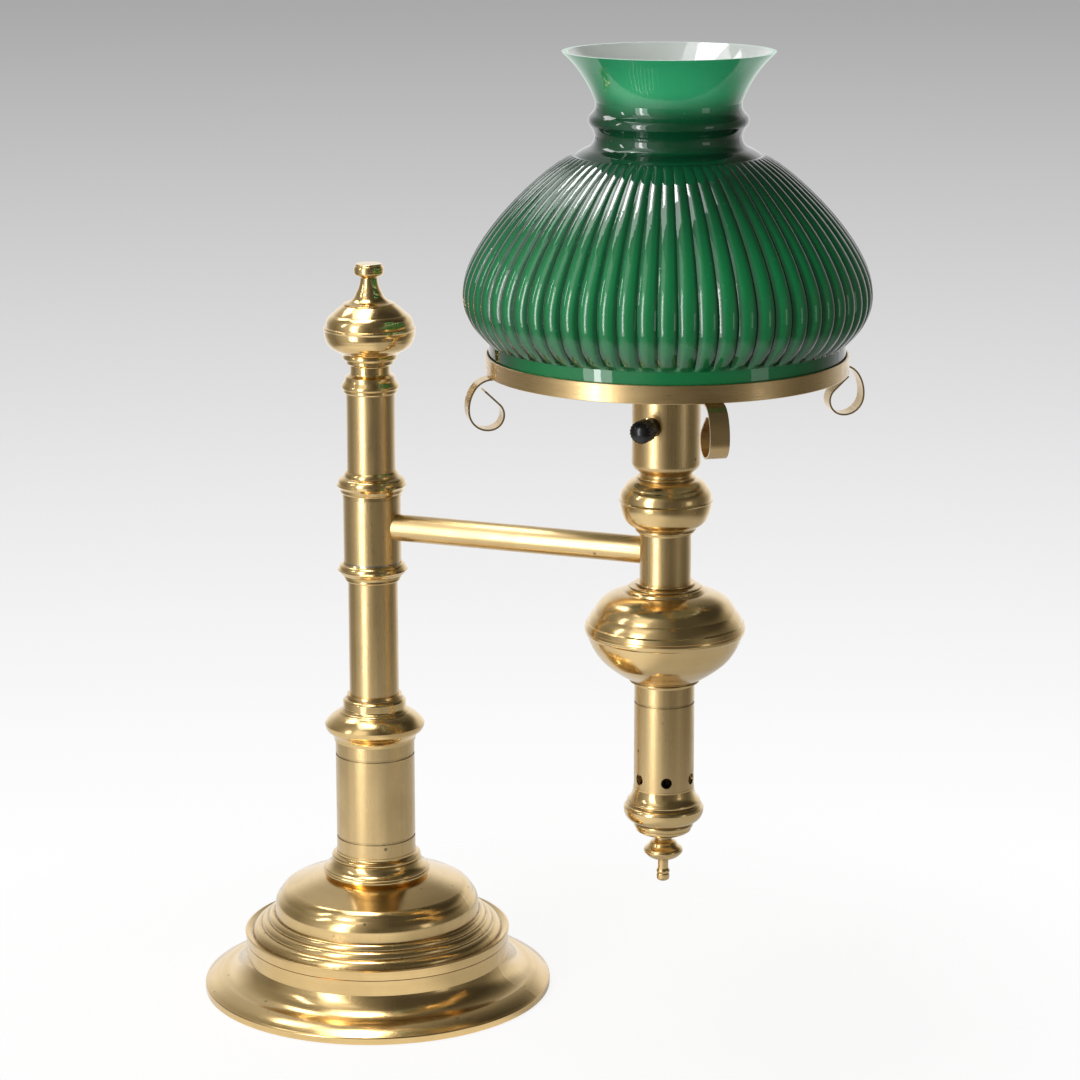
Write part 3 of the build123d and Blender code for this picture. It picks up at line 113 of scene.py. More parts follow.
def sum_of(tree, operation, *values, clamp=False):
    """Do one sum on numbers or sockets and return the result's socket."""
    made = add_node(tree, "ShaderNodeMath", operation=operation, use_clamp=clamp)
    for socket, value in zip(made.inputs, values):
        feed(tree, socket, value)
    return made.outputs[0]


def vector_sum(tree, operation, *values):
    """The same for vectors. A dot product or a length comes back as a number."""
    made = add_node(tree, "ShaderNodeVectorMath", operation=operation)
    for socket, value in zip(made.inputs, values):
        feed(tree, socket, value)
    number = operation in ("DOT_PRODUCT", "LENGTH", "DISTANCE")
    return made.outputs["Value" if number else "Vector"]


def ease(tree, value, low, high, start=0.0, end=1.0):
    """Go smoothly from start to end while value goes from low to high."""
    made = add_node(tree, "ShaderNodeMapRange", interpolation_type="SMOOTHSTEP")
    labels = ("Value", "From Min", "From Max", "To Min", "To Max")
    for label, number in zip(labels, (value, low, high, start, end)):
        feed(tree, made.inputs[label], number)
    return made.outputs["Result"]


def blend_colour(tree, amount, first, second, way="MIX"):
    """Mix two colours by an amount from 0 to 1."""
    made = add_node(tree, "ShaderNodeMix", data_type="RGBA", blend_type=way)
    feed(tree, made.inputs[0], amount)
    feed(tree, made.inputs[6], first)
    feed(tree, made.inputs[7], second)
    return made.outputs[2]


def stain(tree, tone, mask, amount, colour):
    """Lay a colour over a tone where the mask is 1, by the given amount."""
    return blend_colour(tree, sum_of(tree, "MULTIPLY", mask, amount), tone, colour)


def ramp(tree, value, stops):
    """A grey ramp through (position, level) stops."""
    made = add_node(tree, "ShaderNodeValToRGB")
    marks = made.color_ramp.elements
    while len(marks) < len(stops):
        marks.new(0.5)
    for mark, (place, level) in zip(marks, stops):
        mark.position = place
        mark.color = (level, level, level, 1)
    feed(tree, made.inputs["Fac"], value)
    return made.outputs["Color"]


# %% [markdown]
# ## The backdrop
# Behind the lamp hangs a sweep that is white at the table and falls off to mid grey at
# the top. A world whose colour follows the height of the ray gives that from every side.
# Polished brass is a mirror, so it needs a room to reflect as well: a pale sweep behind
# the lamp, a dark studio where the camera stands, and darkest at the right. Two more maps
# give that room by azimuth, one for low rays and one for high ones, and only reflected
# rays see it whole. The soft light that fills the shadows is half of that room and half
# a plain grey.

# %% World
world = bpy.data.worlds.new("studio")
bpy.context.scene.world = world
world.use_nodes = True
air = world.node_tree
air.nodes.clear()
ray_way = add_node(air, "ShaderNodeTexCoord").outputs["Generated"]
ray_height = vector_sum(air, "DOT_PRODUCT", ray_way, (0, 0, 1))
toward_eye = vector_sum(air, "DOT_PRODUCT", ray_way, tuple(-heading))
toward_right = vector_sum(air, "DOT_PRODUCT", ray_way, tuple(rightward))
level_place = 0.5
top_place = 0.56


def sweep_place(image_height):
    """Ramp position of the ray through that height of the picture."""
    dip_here = dip + math.atan((image_height - picture_px / 2) / focal_px)
    return level_place - math.sin(dip_here)


def grey(level):
    """Linear grey from a 0 to 255 screen value."""
    return (level / 255) ** 2.2


sweep = ramp(air, sum_of(air, "ADD", ray_height, level_place), (
    (sweep_place(845), grey(255)),
    (sweep_place(725), grey(250.5)),
    (sweep_place(605), grey(243)),
    (sweep_place(485), grey(233)),
    (sweep_place(305), grey(213)),
    (sweep_place(185), grey(197)),
    (sweep_place(5), grey(168)),
    (top_place, grey(142)),
))

azimuth = sum_of(air, "ARCTAN2", toward_right, toward_eye)
turn = sum_of(air, "MULTIPLY_ADD", azimuth, 0.5 / math.pi, 0.5)


def turn_stops(*stops):
    """Ramp stops from (degrees right of the camera, level) pairs."""
    return [(0.5 + degrees / 360, level) for degrees, level in stops]


low_room = ramp(air, turn, turn_stops(
    (-180, 1.0), (-156, 1.0), (-140, 0.6), (-124, 0.3), (-98, 0.22), (-78, 0.4), (-60, 0.6),
    (-22, 0.45), (-4, 0.13), (28, 0.11), (48, 0.18), (72, 0.18), (90, 0.12), (108, 0.16),
    (124, 0.38), (140, 0.8), (158, 1.0), (180, 1.0),
))
high_room = ramp(air, turn, turn_stops(
    (-180, 0.5), (-150, 0.5), (-126, 0.34), (-105, 0.28), (-80, 0.45), (-30, 0.5), (-6, 0.22),
    (20, 0.08), (60, 0.08), (95, 0.05), (125, 0.05), (150, 0.12), (168, 0.28), (180, 0.5),
))
is_high = ease(air, ray_height, 0.28, 0.56)
room = blend_colour(air, is_high, low_room, high_room)
is_pale = ease(air, room, 0.08, 0.6)
tint = blend_colour(air, is_pale, (1.0, 0.94, 0.80, 1), (1, 1, 1, 1))
room = blend_colour(air, 1.0, room, tint, "MULTIPLY")

path = add_node(air, "ShaderNodeLightPath")
not_seen = sum_of(air, "SUBTRACT", 1, path.outputs["Is Camera Ray"])
reflected = sum_of(
    air, "MAXIMUM", path.outputs["Is Glossy Ray"], path.outputs["Is Transmission Ray"]
)
plain_grey = (0.20, 0.20, 0.20, 1)
soft = blend_colour(air, 0.5, plain_grey, room)
level = blend_colour(air, reflected, soft, room)
level = blend_colour(air, not_seen, sweep, level)
backdrop = add_node(air, "ShaderNodeBackground")
feed(air, backdrop.inputs["Color"], level)
air.links.new(backdrop.outputs[0], add_node(air, "ShaderNodeOutputWorld").inputs["Surface"])

# %% [markdown]
# ## The table
# The real table is the near end of the same sweep, so it has no edge. A flat disc takes
# the lamp's soft shadow, and lets the sweep show through more and more away from the
# foot. To the camera it is nearly all plain white, with a little lit white added, which
# is the part that a shadow can darken. Reflections see it lit, out to arm's length, with
# a painted sheen added, given as emission, which is brighter on the side that faces the
# window and towards the back left.

# %% Table
bpy.ops.mesh.primitive_circle_add(
    vertices=96, radius=1.6, fill_type="NGON", location=(0.08, 0, 0)
)
table = bpy.context.object
table.name = "table"
cloth = bpy.data.materials.new("table white")
cloth.use_nodes = True
weave = cloth.node_tree
weave.nodes.clear()


def level_way(degrees):
    """A level direction, so many degrees right of the camera."""
    angle = math.radians(degrees)
    return rightward * math.sin(angle) - heading * math.cos(angle)


plain_white = 0.86
eye_fade = (0.14, 0.42)
brass_fade = (0.40, 0.66)
spot = add_node(weave, "ShaderNodeTexCoord").outputs["Object"]
reach_out = vector_sum(weave, "LENGTH", spot)
path = add_node(weave, "ShaderNodeLightPath")
seen = path.outputs["Is Camera Ray"]
mirrored = path.outputs["Is Glossy Ray"]
lit = add_node(weave, "ShaderNodeBsdfDiffuse")
feed(weave, lit.inputs["Color"], (0.5, 0.5, 0.495, 1))
# Painted sheen for reflections, brighter towards the window and the back left.
spot_way = vector_sum(weave, "NORMALIZE", spot)
facing_window = vector_sum(weave, "DOT_PRODUCT", spot_way, tuple(level_way(-41)))
facing_back = vector_sum(weave, "DOT_PRODUCT", spot_way, tuple(level_way(-130)))
window_side = ease(weave, facing_window, 0.4, 1.0, 0.3, 0.7)
back_side = ease(weave, facing_back, -0.2, 0.7, 0.3, 0.55)
painted_table_sheen = sum_of(weave, "MAXIMUM", window_side, back_side)
painted_table_glow = add_node(weave, "ShaderNodeEmission")
feed(weave, painted_table_glow.inputs["Strength"], sum_of(weave, "MULTIPLY", mirrored, painted_table_sheen))
bright = add_node(weave, "ShaderNodeAddShader")
weave.links.new(lit.outputs[0], bright.inputs[0])
weave.links.new(painted_table_glow.outputs[0], bright.inputs[1])
shaded = add_node(weave, "ShaderNodeBsdfDiffuse")
feed(weave, shaded.inputs["Color"], (0.25, 0.25, 0.25, 1))
plain = add_node(weave, "ShaderNodeEmission")
feed(weave, plain.inputs["Strength"], plain_white)
both = add_node(weave, "ShaderNodeAddShader")
weave.links.new(shaded.outputs[0], both.inputs[0])
weave.links.new(plain.outputs[0], both.inputs[1])
look = add_node(weave, "ShaderNodeMixShader")
feed(weave, look.inputs[0], seen)
weave.links.new(bright.outputs[0], look.inputs[1])
weave.links.new(both.outputs[0], look.inputs[2])
gone_to_eye = sum_of(weave, "MULTIPLY", seen, ease(weave, reach_out, *eye_fade))
gone_to_brass = sum_of(weave, "MULTIPLY", mirrored, ease(weave, reach_out, *brass_fade))
clear = add_node(weave, "ShaderNodeMixShader")
feed(weave, clear.inputs[0], sum_of(weave, "MAXIMUM", gone_to_eye, gone_to_brass))
weave.links.new(look.outputs[0], clear.inputs[1])
weave.links.new(add_node(weave, "ShaderNodeBsdfTransparent").outputs[0], clear.inputs[2])
weave.links.new(clear.outputs[0], add_node(weave, "ShaderNodeOutputMaterial").inputs["Surface"])
table.data.materials.append(cloth)
print("table", round(table.dimensions.x, 2), "m across")

# %% [markdown]
# ## Lamps
# A tall soft box stands at the left front, as a window would. It lights the green glass,
# and draws the stripe down the left third of every tube. A softer one hangs over it, and
# a third one overhead, for the crowns of the foot, the finial and the font. Area lamps
# are the usual choice, because their size sets how wide a stripe is, and their power how
# bright. A polished thing also wants small sources, or it looks dull. The window has a
# narrow bright core, a strip at the left puts streaks on the shade's ribs, two panels,
# at the back left and overhead, put patches on its shoulder, and a low window at the
# right gives the tubes a second, weaker stripe. Only reflections see these, because they
# would burn the colours out. Each row below gives a lamp's turn, height and distance, its
# width and tallness, its brightness and its aim, and True where only reflections see it.

# %% Soft boxes
def soft_box(name, turned, height, away, wide, tall, brightness, aim, gloss_only=False):
    """Hang a soft box so many degrees right of the camera, and aim it."""
    panel = bpy.data.lights.new(name, "AREA")
    panel.shape = "RECTANGLE"
    panel.size = wide
    panel.size_y = tall
    panel.energy = brightness * math.pi * wide * tall
    box = bpy.data.objects.new(name, panel)
    box.location = aim + level_way(turned) * away
    box.location.z = height
    box.rotation_euler = (aim - box.location).to_track_quat("-Z", "Y").to_euler()
    box.visible_camera = False
    box.visible_diffuse = not gloss_only
    bpy.context.collection.objects.link(box)
    print(name, [round(v, 2) for v in box.location], round(panel.energy, 2), "W")


lamp_middle = Vector((0.08, 0, 0.25))
shade_middle = Vector((0.16, 0, 0.40))
for row in (
    ("window", -42, 0.42, 1.3, 0.46, 1.5, 2.5, lamp_middle),
    ("upper window", -46, 1.5, 1.15, 0.75, 0.7, 0.75, lamp_middle),
    ("overhead box", -96, 1.10, 0.24, 0.48, 0.42, 2.6, lamp_middle),
    ("far window", 58, 0.30, 1.4, 0.30, 0.55, 0.7, lamp_middle, True),
    ("window core", -42, 0.45, 1.25, 0.11, 1.2, 7.0, lamp_middle, True),
    ("left strip", -80, 0.74, 0.9, 0.06, 0.36, 7.0, shade_middle, True),
    ("back left panel", -128, 1.06, 0.77, 0.26, 0.26, 4.0, shade_middle, True),
    ("overhead core", -112, 1.05, 0.26, 0.30, 0.17, 12.0, shade_middle, True),
):
    soft_box(*row)

# %% [markdown]
# ## Marks that several finishes share
# Real metal shows how it was made and used: lines from the drawing die, rings from the
# lathe, clouds of tarnish, dark specks, and dirt that the polishing cloth can't reach,
# which is laid into the corners together with painted shade.
# Each of these is a node group, built once, with its scale as an input. The groups only
# give masks from 0 to 1, and each material decides what a mask does to it.

# %% Group helper
def new_group(name, inputs, outputs):
    """Start a shader node group and return it with its two ends."""
    group = bpy.data.node_groups.new(name, "ShaderNodeTree")
    for label, kind, value in inputs:
        socket = group.interface.new_socket(name=label, in_out="INPUT", socket_type=kind)
        socket.default_value = value
    for label in outputs:
        group.interface.new_socket(name=label, in_out="OUTPUT", socket_type="NodeSocketFloat")
    given = group.nodes.new("NodeGroupInput").outputs
    return group, given, group.nodes.new("NodeGroupOutput").inputs


def noise(tree, place, scale, detail=3.0, roughness=0.55):
    """Noise from 0 to 1 at a place."""
    made = add_node(tree, "ShaderNodeTexNoise")
    labels = ("Vector", "Scale", "Detail", "Roughness")
    for label, value in zip(labels, (place, scale, detail, roughness)):
        feed(tree, made.inputs[label], value)
    return made.outputs["Fac"]


vector_input = ("Place", "NodeSocketVector", (0, 0, 0))

# %% [markdown]
# ### Drawn lines
# A tube keeps faint lines along its length from the die. Noise that is squeezed across
# the tube and stretched along it gives them, so the stretch is an input.

# %% Drawn lines
drawn_lines, given, result = new_group(
    "drawn lines", [vector_input, ("Stretch", "NodeSocketVector", (1, 1, 1))], ["Lines", "Bands"]
)
stretched = vector_sum(drawn_lines, "MULTIPLY", given["Place"], given["Stretch"])
fine = noise(drawn_lines, stretched, 1.0, 4.0, 0.7)
feed(drawn_lines, result["Lines"], ease(drawn_lines, fine, 0.3, 0.7))
wide = noise(drawn_lines, stretched, 0.16, 2.0)
feed(drawn_lines, result["Bands"], ease(drawn_lines, wide, 0.32, 0.68))

# %% [markdown]
# ### Lathe rings
# Turned and spun pieces carry fine rings round their axis. The distance from the axis
# and the height make a flat place, which is the same all the way round, and noise on it
# makes rings. The stand turns about one axis and the burner about another.

# %% Lathe rings
lathe_rings, given, result = new_group(
    "lathe rings",
    [vector_input, ("Axis X", "NodeSocketFloat", 0.0), ("Per Metre", "NodeSocketFloat", 2500.0)],
    ["Rings", "Bands"],
)
split = add_node(lathe_rings, "ShaderNodeSeparateXYZ")
feed(lathe_rings, split.inputs[0], given["Place"])
across = sum_of(lathe_rings, "SUBTRACT", split.outputs["X"], given["Axis X"])
radius = sum_of(lathe_rings, "SQRT", sum_of(
    lathe_rings, "ADD",
    sum_of(lathe_rings, "MULTIPLY", across, across),
    sum_of(lathe_rings, "MULTIPLY", split.outputs["Y"], split.outputs["Y"]),
))
profile = add_node(lathe_rings, "ShaderNodeCombineXYZ")
feed(lathe_rings, profile.inputs["X"], radius)
feed(lathe_rings, profile.inputs["Z"], split.outputs["Z"])
rings = noise(lathe_rings, profile.outputs[0], given["Per Metre"], 2.0, 0.6)
feed(lathe_rings, result["Rings"], ease(lathe_rings, rings, 0.3, 0.7))
band_scale = sum_of(lathe_rings, "MULTIPLY", given["Per Metre"], 0.12)
bands = noise(lathe_rings, profile.outputs[0], band_scale, 2.0)
feed(lathe_rings, result["Bands"], ease(lathe_rings, bands, 0.35, 0.65))

# %% [markdown]
# ### Tarnish and specks
# Old brass clouds over in soft patches, and here and there a dark speck has eaten
# through the lacquer. Patches are plain noise. Specks are the middles of a few cells.

# %% Tarnish and specks
tarnish, given, result = new_group(
    "tarnish",
    [
        vector_input,
        ("Cloud Scale", "NodeSocketFloat", 40.0),
        ("Speck Scale", "NodeSocketFloat", 260.0),
    ],
    ["Clouds", "Specks"],
)
clouds = noise(tarnish, given["Place"], given["Cloud Scale"], 5.0, 0.6)
feed(tarnish, result["Clouds"], ease(tarnish, clouds, 0.42, 0.72))
cells = add_node(tarnish, "ShaderNodeTexVoronoi")
feed(tarnish, cells.inputs["Vector"], given["Place"])
feed(tarnish, cells.inputs["Scale"], given["Speck Scale"])
middle = ease(tarnish, cells.outputs["Distance"], 0.08, 0.2, 1.0, 0.0)
chance = vector_sum(tarnish, "DOT_PRODUCT", cells.outputs["Color"], (1, 0, 0))
few = ease(tarnish, chance, 0.9, 0.94)
feed(tarnish, result["Specks"], sum_of(tarnish, "MULTIPLY", middle, few))

# %% [markdown]
# ### Dirt and painted shade in the corners
# Polish and dust stay in grooves and at the feet of beads, and shade falls there too. A
# short-range ambient occlusion finds those corners on any shape, and noise breaks up the
# line. The brass finishes paint them dark, for dirt and as painted shade; the mouldings
# put pale dust there.

# %% Corners soiled and shaded
corners_soiled_and_shaded, given, result = new_group(
    "corners soiled and shaded", [vector_input, ("Reach", "NodeSocketFloat", 0.003)], ["Dirt"]
)
shelter = add_node(corners_soiled_and_shaded, "ShaderNodeAmbientOcclusion", samples=6, only_local=True)
feed(corners_soiled_and_shaded, shelter.inputs["Distance"], given["Reach"])
deep = ease(corners_soiled_and_shaded, shelter.outputs["AO"], 0.4, 0.95, 1.0, 0.0)
broken = ease(corners_soiled_and_shaded, noise(corners_soiled_and_shaded, given["Place"], 300.0), 0.25, 0.6, 0.45, 1.0)
feed(corners_soiled_and_shaded, result["Dirt"], sum_of(corners_soiled_and_shaded, "MULTIPLY", deep, broken))

# %% [markdown]
# ### Hairline scratches
# Years of wiping leave hairlines in all directions. Two layers of noise, each squeezed
# one way and turned, are cut off so that only their thin tops stay.

# %% Hairlines
hairlines, given, result = new_group(
    "hairlines", [vector_input, ("Fineness", "NodeSocketFloat", 1.0)], ["Hairlines"]
)
layers = []
for turned in ((0.4, 0.9, 0.2), (1.3, -0.5, 0.8)):
    spun = add_node(hairlines, "ShaderNodeMapping")
    feed(hairlines, spun.inputs["Vector"], given["Place"])
    spun.inputs["Rotation"].default_value = turned
    spun.inputs["Scale"].default_value = (900, 900, 35)
    layer = noise(hairlines, spun.outputs[0], given["Fineness"], 1.0)
    layers.append(ease(hairlines, layer, 0.66, 0.74))
feed(hairlines, result["Hairlines"], sum_of(hairlines, "MAXIMUM", *layers))
print("groups", [g.name for g in bpy.data.node_groups])

# %% [markdown]
# ## Putting a finish together
# Each finish starts from a Principled shader. One helper makes the material and its
# place on the piece, which is the object's own place, so that the marks travel with the
# arm when it swings. A second one drops in a group, and a third one turns a height mask
# into a bump.

# %% Finish helpers
def new_finish(name, metallic=0.0):
    """A material with a Principled shader, its tree, and the place on the piece."""
    material = bpy.data.materials.new(name)
    material.use_nodes = True
    tree = material.node_tree
    tree.nodes.clear()
    shader = add_node(tree, "ShaderNodeBsdfPrincipled")
    tree.links.new(shader.outputs[0], add_node(tree, "ShaderNodeOutputMaterial").inputs["Surface"])
    shader.inputs["Metallic"].default_value = metallic
    return material, tree, shader.inputs, add_node(tree, "ShaderNodeTexCoord").outputs["Object"]


def use_group(tree, group, **inputs):
    """Place a group, set its inputs by name and return its outputs."""
    made = add_node(tree, "ShaderNodeGroup", node_tree=group)
    for name, value in inputs.items():
        feed(tree, made.inputs[name.replace("_", " ")], value)
    return made.outputs


def bump(tree, sockets, height, depth, strength=1.0):
    """Raise the surface by a height mask, depth in metres."""
    made = add_node(tree, "ShaderNodeBump")
    feed(tree, made.inputs["Height"], height)
    made.inputs["Distance"].default_value = depth
    made.inputs["Strength"].default_value = strength
    tree.links.new(made.outputs[0], sockets["Normal"])


finishes = {}
grime_and_shade = (0.11, 0.08, 0.04, 1)

# %% [markdown]
# ## Turned brass
# Collars, beads, font and foot are turned or spun, then buffed. Buffing leaves a soft
# mirror, a little hazier in some rings than in others. Warm yellow brass goes browner
# where it has tarnished, and nearly black in the corners, which hold dirt and painted
# shade. The foot and the font are the brightest pieces, so the marks on them stay faint.

# %% Turned brass
def lacquer(sockets):
    """A thin clear coat, which keeps small glints sharp over the softer metal."""
    sockets["Coat Weight"].default_value = 0.55
    sockets["Coat Roughness"].default_value = 0.05
    sockets["Coat IOR"].default_value = 1.5


def turned_brass(name, axis_x, warmth, haze):
    """Buffed brass with rings about the axis at axis_x."""
    material, tree, sockets, place = new_finish(name, metallic=1.0)
    turning = use_group(tree, lathe_rings, Place=place, Axis_X=axis_x, Per_Metre=2200.0)
    clouding = use_group(tree, tarnish, Place=place, Cloud_Scale=38.0, Speck_Scale=190.0)
    dirt_and_shade = use_group(tree, corners_soiled_and_shaded, Place=place, Reach=0.0028)["Dirt"]
    scratch = use_group(tree, hairlines, Place=place)["Hairlines"]
    colour = stain(tree, warmth, turning["Bands"], 0.35, (0.86, 0.64, 0.31, 1))
    colour = stain(tree, colour, clouding["Clouds"], 0.3, (0.60, 0.40, 0.17, 1))
    colour = stain(tree, colour, dirt_and_shade, 0.75, grime_and_shade)
    colour = stain(tree, colour, clouding["Specks"], 0.6, (0.16, 0.09, 0.04, 1))
    feed(tree, sockets["Base Color"], colour)
    rough = sum_of(tree, "MULTIPLY_ADD", turning["Rings"], 0.04, haze)
    rough = sum_of(tree, "MULTIPLY_ADD", clouding["Clouds"], 0.07, rough)
    rough = sum_of(tree, "MULTIPLY_ADD", scratch, 0.06, rough)
    rough = sum_of(tree, "MULTIPLY_ADD", dirt_and_shade, 0.25, rough, clamp=True)
    feed(tree, sockets["Roughness"], rough)
    height = sum_of(tree, "SUBTRACT", turning["Rings"], sum_of(tree, "MULTIPLY", scratch, 0.6))
    bump(tree, sockets, height, 0.00001, 0.25)
    lacquer(sockets)
    return material


reach = (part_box("burner_tube")[0].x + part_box("burner_tube")[1].x) / 2
stand_brass = turned_brass("turned brass on the stand", 0.0, (0.80, 0.56, 0.24, 1), 0.13)
burner_brass = turned_brass("turned brass on the burner", reach, (0.79, 0.56, 0.25, 1), 0.15)
print("burner axis at", round(reach, 4))

# %% [markdown]
# ## Drawn brass
# Tubes and strips are drawn or rolled, and only satin finished. Their lines run along
# the tube, or round the ring, and blur every reflection into a stripe.

# %% Drawn brass
satin_haze = 0.25


def satin_brass(name, stretch, colour):
    """Satin brass with lines along the axis whose number in stretch is smallest."""
    material, tree, sockets, place = new_finish(name, metallic=1.0)
    drawing = use_group(tree, drawn_lines, Place=place, Stretch=stretch)
    clouding = use_group(tree, tarnish, Place=place, Cloud_Scale=55.0, Speck_Scale=150.0)
    dirt_and_shade = use_group(tree, corners_soiled_and_shaded, Place=place, Reach=0.0022)["Dirt"]
    tone = stain(tree, colour, drawing["Bands"], 0.5, (0.66, 0.47, 0.22, 1))
    tone = stain(tree, tone, clouding["Clouds"], 0.3, (0.58, 0.39, 0.18, 1))
    # Dark corners: dirt, and painted shade where the occlusion finds a corner.
    tone = stain(tree, tone, dirt_and_shade, 0.8, grime_and_shade)
    tone = stain(tree, tone, clouding["Specks"], 0.75, (0.14, 0.08, 0.04, 1))
    feed(tree, sockets["Base Color"], tone)
    rough = sum_of(tree, "MULTIPLY_ADD", drawing["Lines"], 0.1, satin_haze)
    rough = sum_of(tree, "MULTIPLY_ADD", clouding["Clouds"], 0.08, rough)
    feed(tree, sockets["Roughness"], sum_of(tree, "MULTIPLY_ADD", dirt_and_shade, 0.2, rough, clamp=True))
    bump(tree, sockets, drawing["Lines"], 0.000014, 0.7)
    lacquer(sockets)
    return material


upright_brass = satin_brass("drawn brass, upright tubes", (2600, 2600, 26), (0.76, 0.55, 0.26, 1))
arm_brass = satin_brass("drawn brass, side arm", (26, 2600, 2600), (0.78, 0.57, 0.27, 1))
strip_brass = satin_brass("rolled brass strip", (60, 60, 2400), (0.72, 0.51, 0.24, 1))

# %% [markdown]
# ## Green cased glass
# The shade is pressed in two layers, opal white inside and emerald outside. Light goes
# through the green twice, so the colour deepens where the layer is seen aslant. In the
# valleys between the ribs the green is deeper too, for the thicker layer there and as
# painted shade. By height the colour is painted with light and shade: bright in the belly,
# where light would reach the inside from below, paler in the flare, where it would come
# in through the mouth, and dark in the shoulder. Whether a point is on the inside follows
# from its normal: inside, it looks back at the burner's axis. At the flare's thin rim a
# painted glow, given as emission, stands for a little light that comes right through. The
# gloss is strong, as on heavy lead glass, so the index is well above that of window glass.

# %% Cased glass
rib_count = 64
bright_green = (0.012, 0.40, 0.125, 1)
full_green = (0.008, 0.33, 0.095, 1)
painted_shoulder_shade_green = (0.004, 0.075, 0.030, 1)
painted_flare_glow_green = (0.055, 0.58, 0.24, 1)
valley_depth_and_shade_green = (0.003, 0.075, 0.032, 1)
aslant_green = (0.002, 0.030, 0.014, 1)
seed_green = (0.10, 0.45, 0.26, 1)
painted_rim_light = (0.010, 0.12, 0.05, 1)
shade_low, shade_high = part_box("shade")
glass, tree, sockets, place = new_finish("green cased glass")
own_normal = add_node(tree, "ShaderNodeTexCoord").outputs["Normal"]
from_axis = vector_sum(tree, "SUBTRACT", place, (reach, 0, 0))
split = add_node(tree, "ShaderNodeSeparateXYZ")
feed(tree, split.inputs[0], from_axis)
flat = vector_sum(tree, "NORMALIZE", vector_sum(tree, "MULTIPLY", from_axis, (1, 1, 0)))
outward = vector_sum(tree, "DOT_PRODUCT", own_normal, flat)
inside = ease(tree, outward, -0.12, -0.04, 1.0, 0.0)
round_angle = sum_of(tree, "ARCTAN2", split.outputs["Y"], split.outputs["X"])
rib_wave = sum_of(tree, "COSINE", sum_of(tree, "MULTIPLY", round_angle, rib_count))


def up_the_shade(low, high, start=0.0, end=1.0):
    """Ease by height, with both heights in metres above the shade's lower edge."""
    return ease(tree, split.outputs["Z"], shade_low.z + low, shade_low.z + high, start, end)


above_fitter = up_the_shade(0.015, 0.020)
below_throat = up_the_shade(0.098, 0.107, 1.0, 0.0)
ribbed = sum_of(tree, "MULTIPLY", above_fitter, below_throat)
# Valleys: deeper green for the thicker layer there, and painted shade between the ribs.
valley_depth_and_shade = sum_of(tree, "MULTIPLY", ribbed, ease(tree, rib_wave, 0.2, 1.0))
slant = add_node(tree, "ShaderNodeLayerWeight")
slant.inputs["Blend"].default_value = 0.5
aslant = ease(tree, slant.outputs["Facing"], 0.2, 0.75)
flow = noise(tree, vector_sum(tree, "MULTIPLY", place, (30, 30, 12)), 1.0, 3.0)
green = blend_colour(tree, flow, full_green, bright_green)
# Painted shade in the shoulder, and a painted glow in the flare.
painted_shoulder_shade = up_the_shade(0.050, 0.106)
green = stain(tree, green, painted_shoulder_shade, 0.85, painted_shoulder_shade_green)
painted_flare_glow = up_the_shade(0.126, 0.142)
green = blend_colour(tree, painted_flare_glow, green, painted_flare_glow_green)
green = stain(tree, green, valley_depth_and_shade, 0.6, valley_depth_and_shade_green)
green = stain(tree, green, aslant, 0.95, aslant_green)
seeds = add_node(tree, "ShaderNodeTexVoronoi")
feed(tree, seeds.inputs["Vector"], place)
feed(tree, seeds.inputs["Scale"], 170.0)
seed = ease(tree, seeds.outputs["Distance"], 0.05, 0.11, 1.0, 0.0)
green = stain(tree, green, seed, 0.35, seed_green)
opal = blend_colour(tree, flow, (0.84, 0.92, 0.87, 1), (0.90, 0.94, 0.91, 1))
feed(tree, sockets["Base Color"], blend_colour(tree, inside, green, opal))
# A painted glow at the flare's thin rim, given as emission, for light coming through.
rim_glow = sum_of(tree, "MULTIPLY", painted_flare_glow, sum_of(tree, "SUBTRACT", 1, inside))
painted_rim_glow = blend_colour(tree, rim_glow, (0, 0, 0, 1), painted_rim_light)
feed(tree, sockets["Emission Color"], painted_rim_glow)
sockets["Emission Strength"].default_value = 1.0
smear = noise(tree, place, 60.0, 4.0)
feed(tree, sockets["Roughness"], ease(tree, smear, 0.3, 0.8, 0.02, 0.06))
ripple = noise(tree, vector_sum(tree, "MULTIPLY", place, (120, 120, 60)), 1.0, 2.0)
bump(tree, sockets, ripple, 0.00012, 0.5)
sockets["IOR"].default_value = 1.7
finishes["green_glass"] = glass
print("shade", round(shade_high.z - shade_low.z, 4), "m high,", rib_count, "ribs")

# %% [markdown]
# ## Bulb and nickel cap
# The bulb is coated white inside, so it is a soft white body with a gloss of glass on
# top. Its screw cap is thin nickel-plated brass, dull from handling.

# %% Bulb finishes
frost, tree, sockets, place = new_finish("frosted bulb glass")
powder = noise(tree, place, 90.0, 4.0)
tone = blend_colour(tree, powder, (0.80, 0.79, 0.76, 1), (0.88, 0.88, 0.86, 1))
feed(tree, sockets["Base Color"], tone)
feed(tree, sockets["Roughness"], ease(tree, powder, 0.3, 0.7, 0.26, 0.38))
sockets["Coat Weight"].default_value = 0.4
finishes["frosted_glass"] = frost

nickel, tree, sockets, place = new_finish("nickel cap", metallic=1.0)
clouding = use_group(tree, tarnish, Place=place, Cloud_Scale=160.0, Speck_Scale=600.0)
bare_nickel = (0.70, 0.67, 0.61, 1)
tone = stain(tree, bare_nickel, clouding["Clouds"], 0.5, (0.46, 0.42, 0.36, 1))
feed(tree, sockets["Base Color"], tone)
feed(tree, sockets["Roughness"], ease(tree, clouding["Clouds"], 0.0, 1.0, 0.24, 0.42))
finishes["nickel_cap"] = nickel

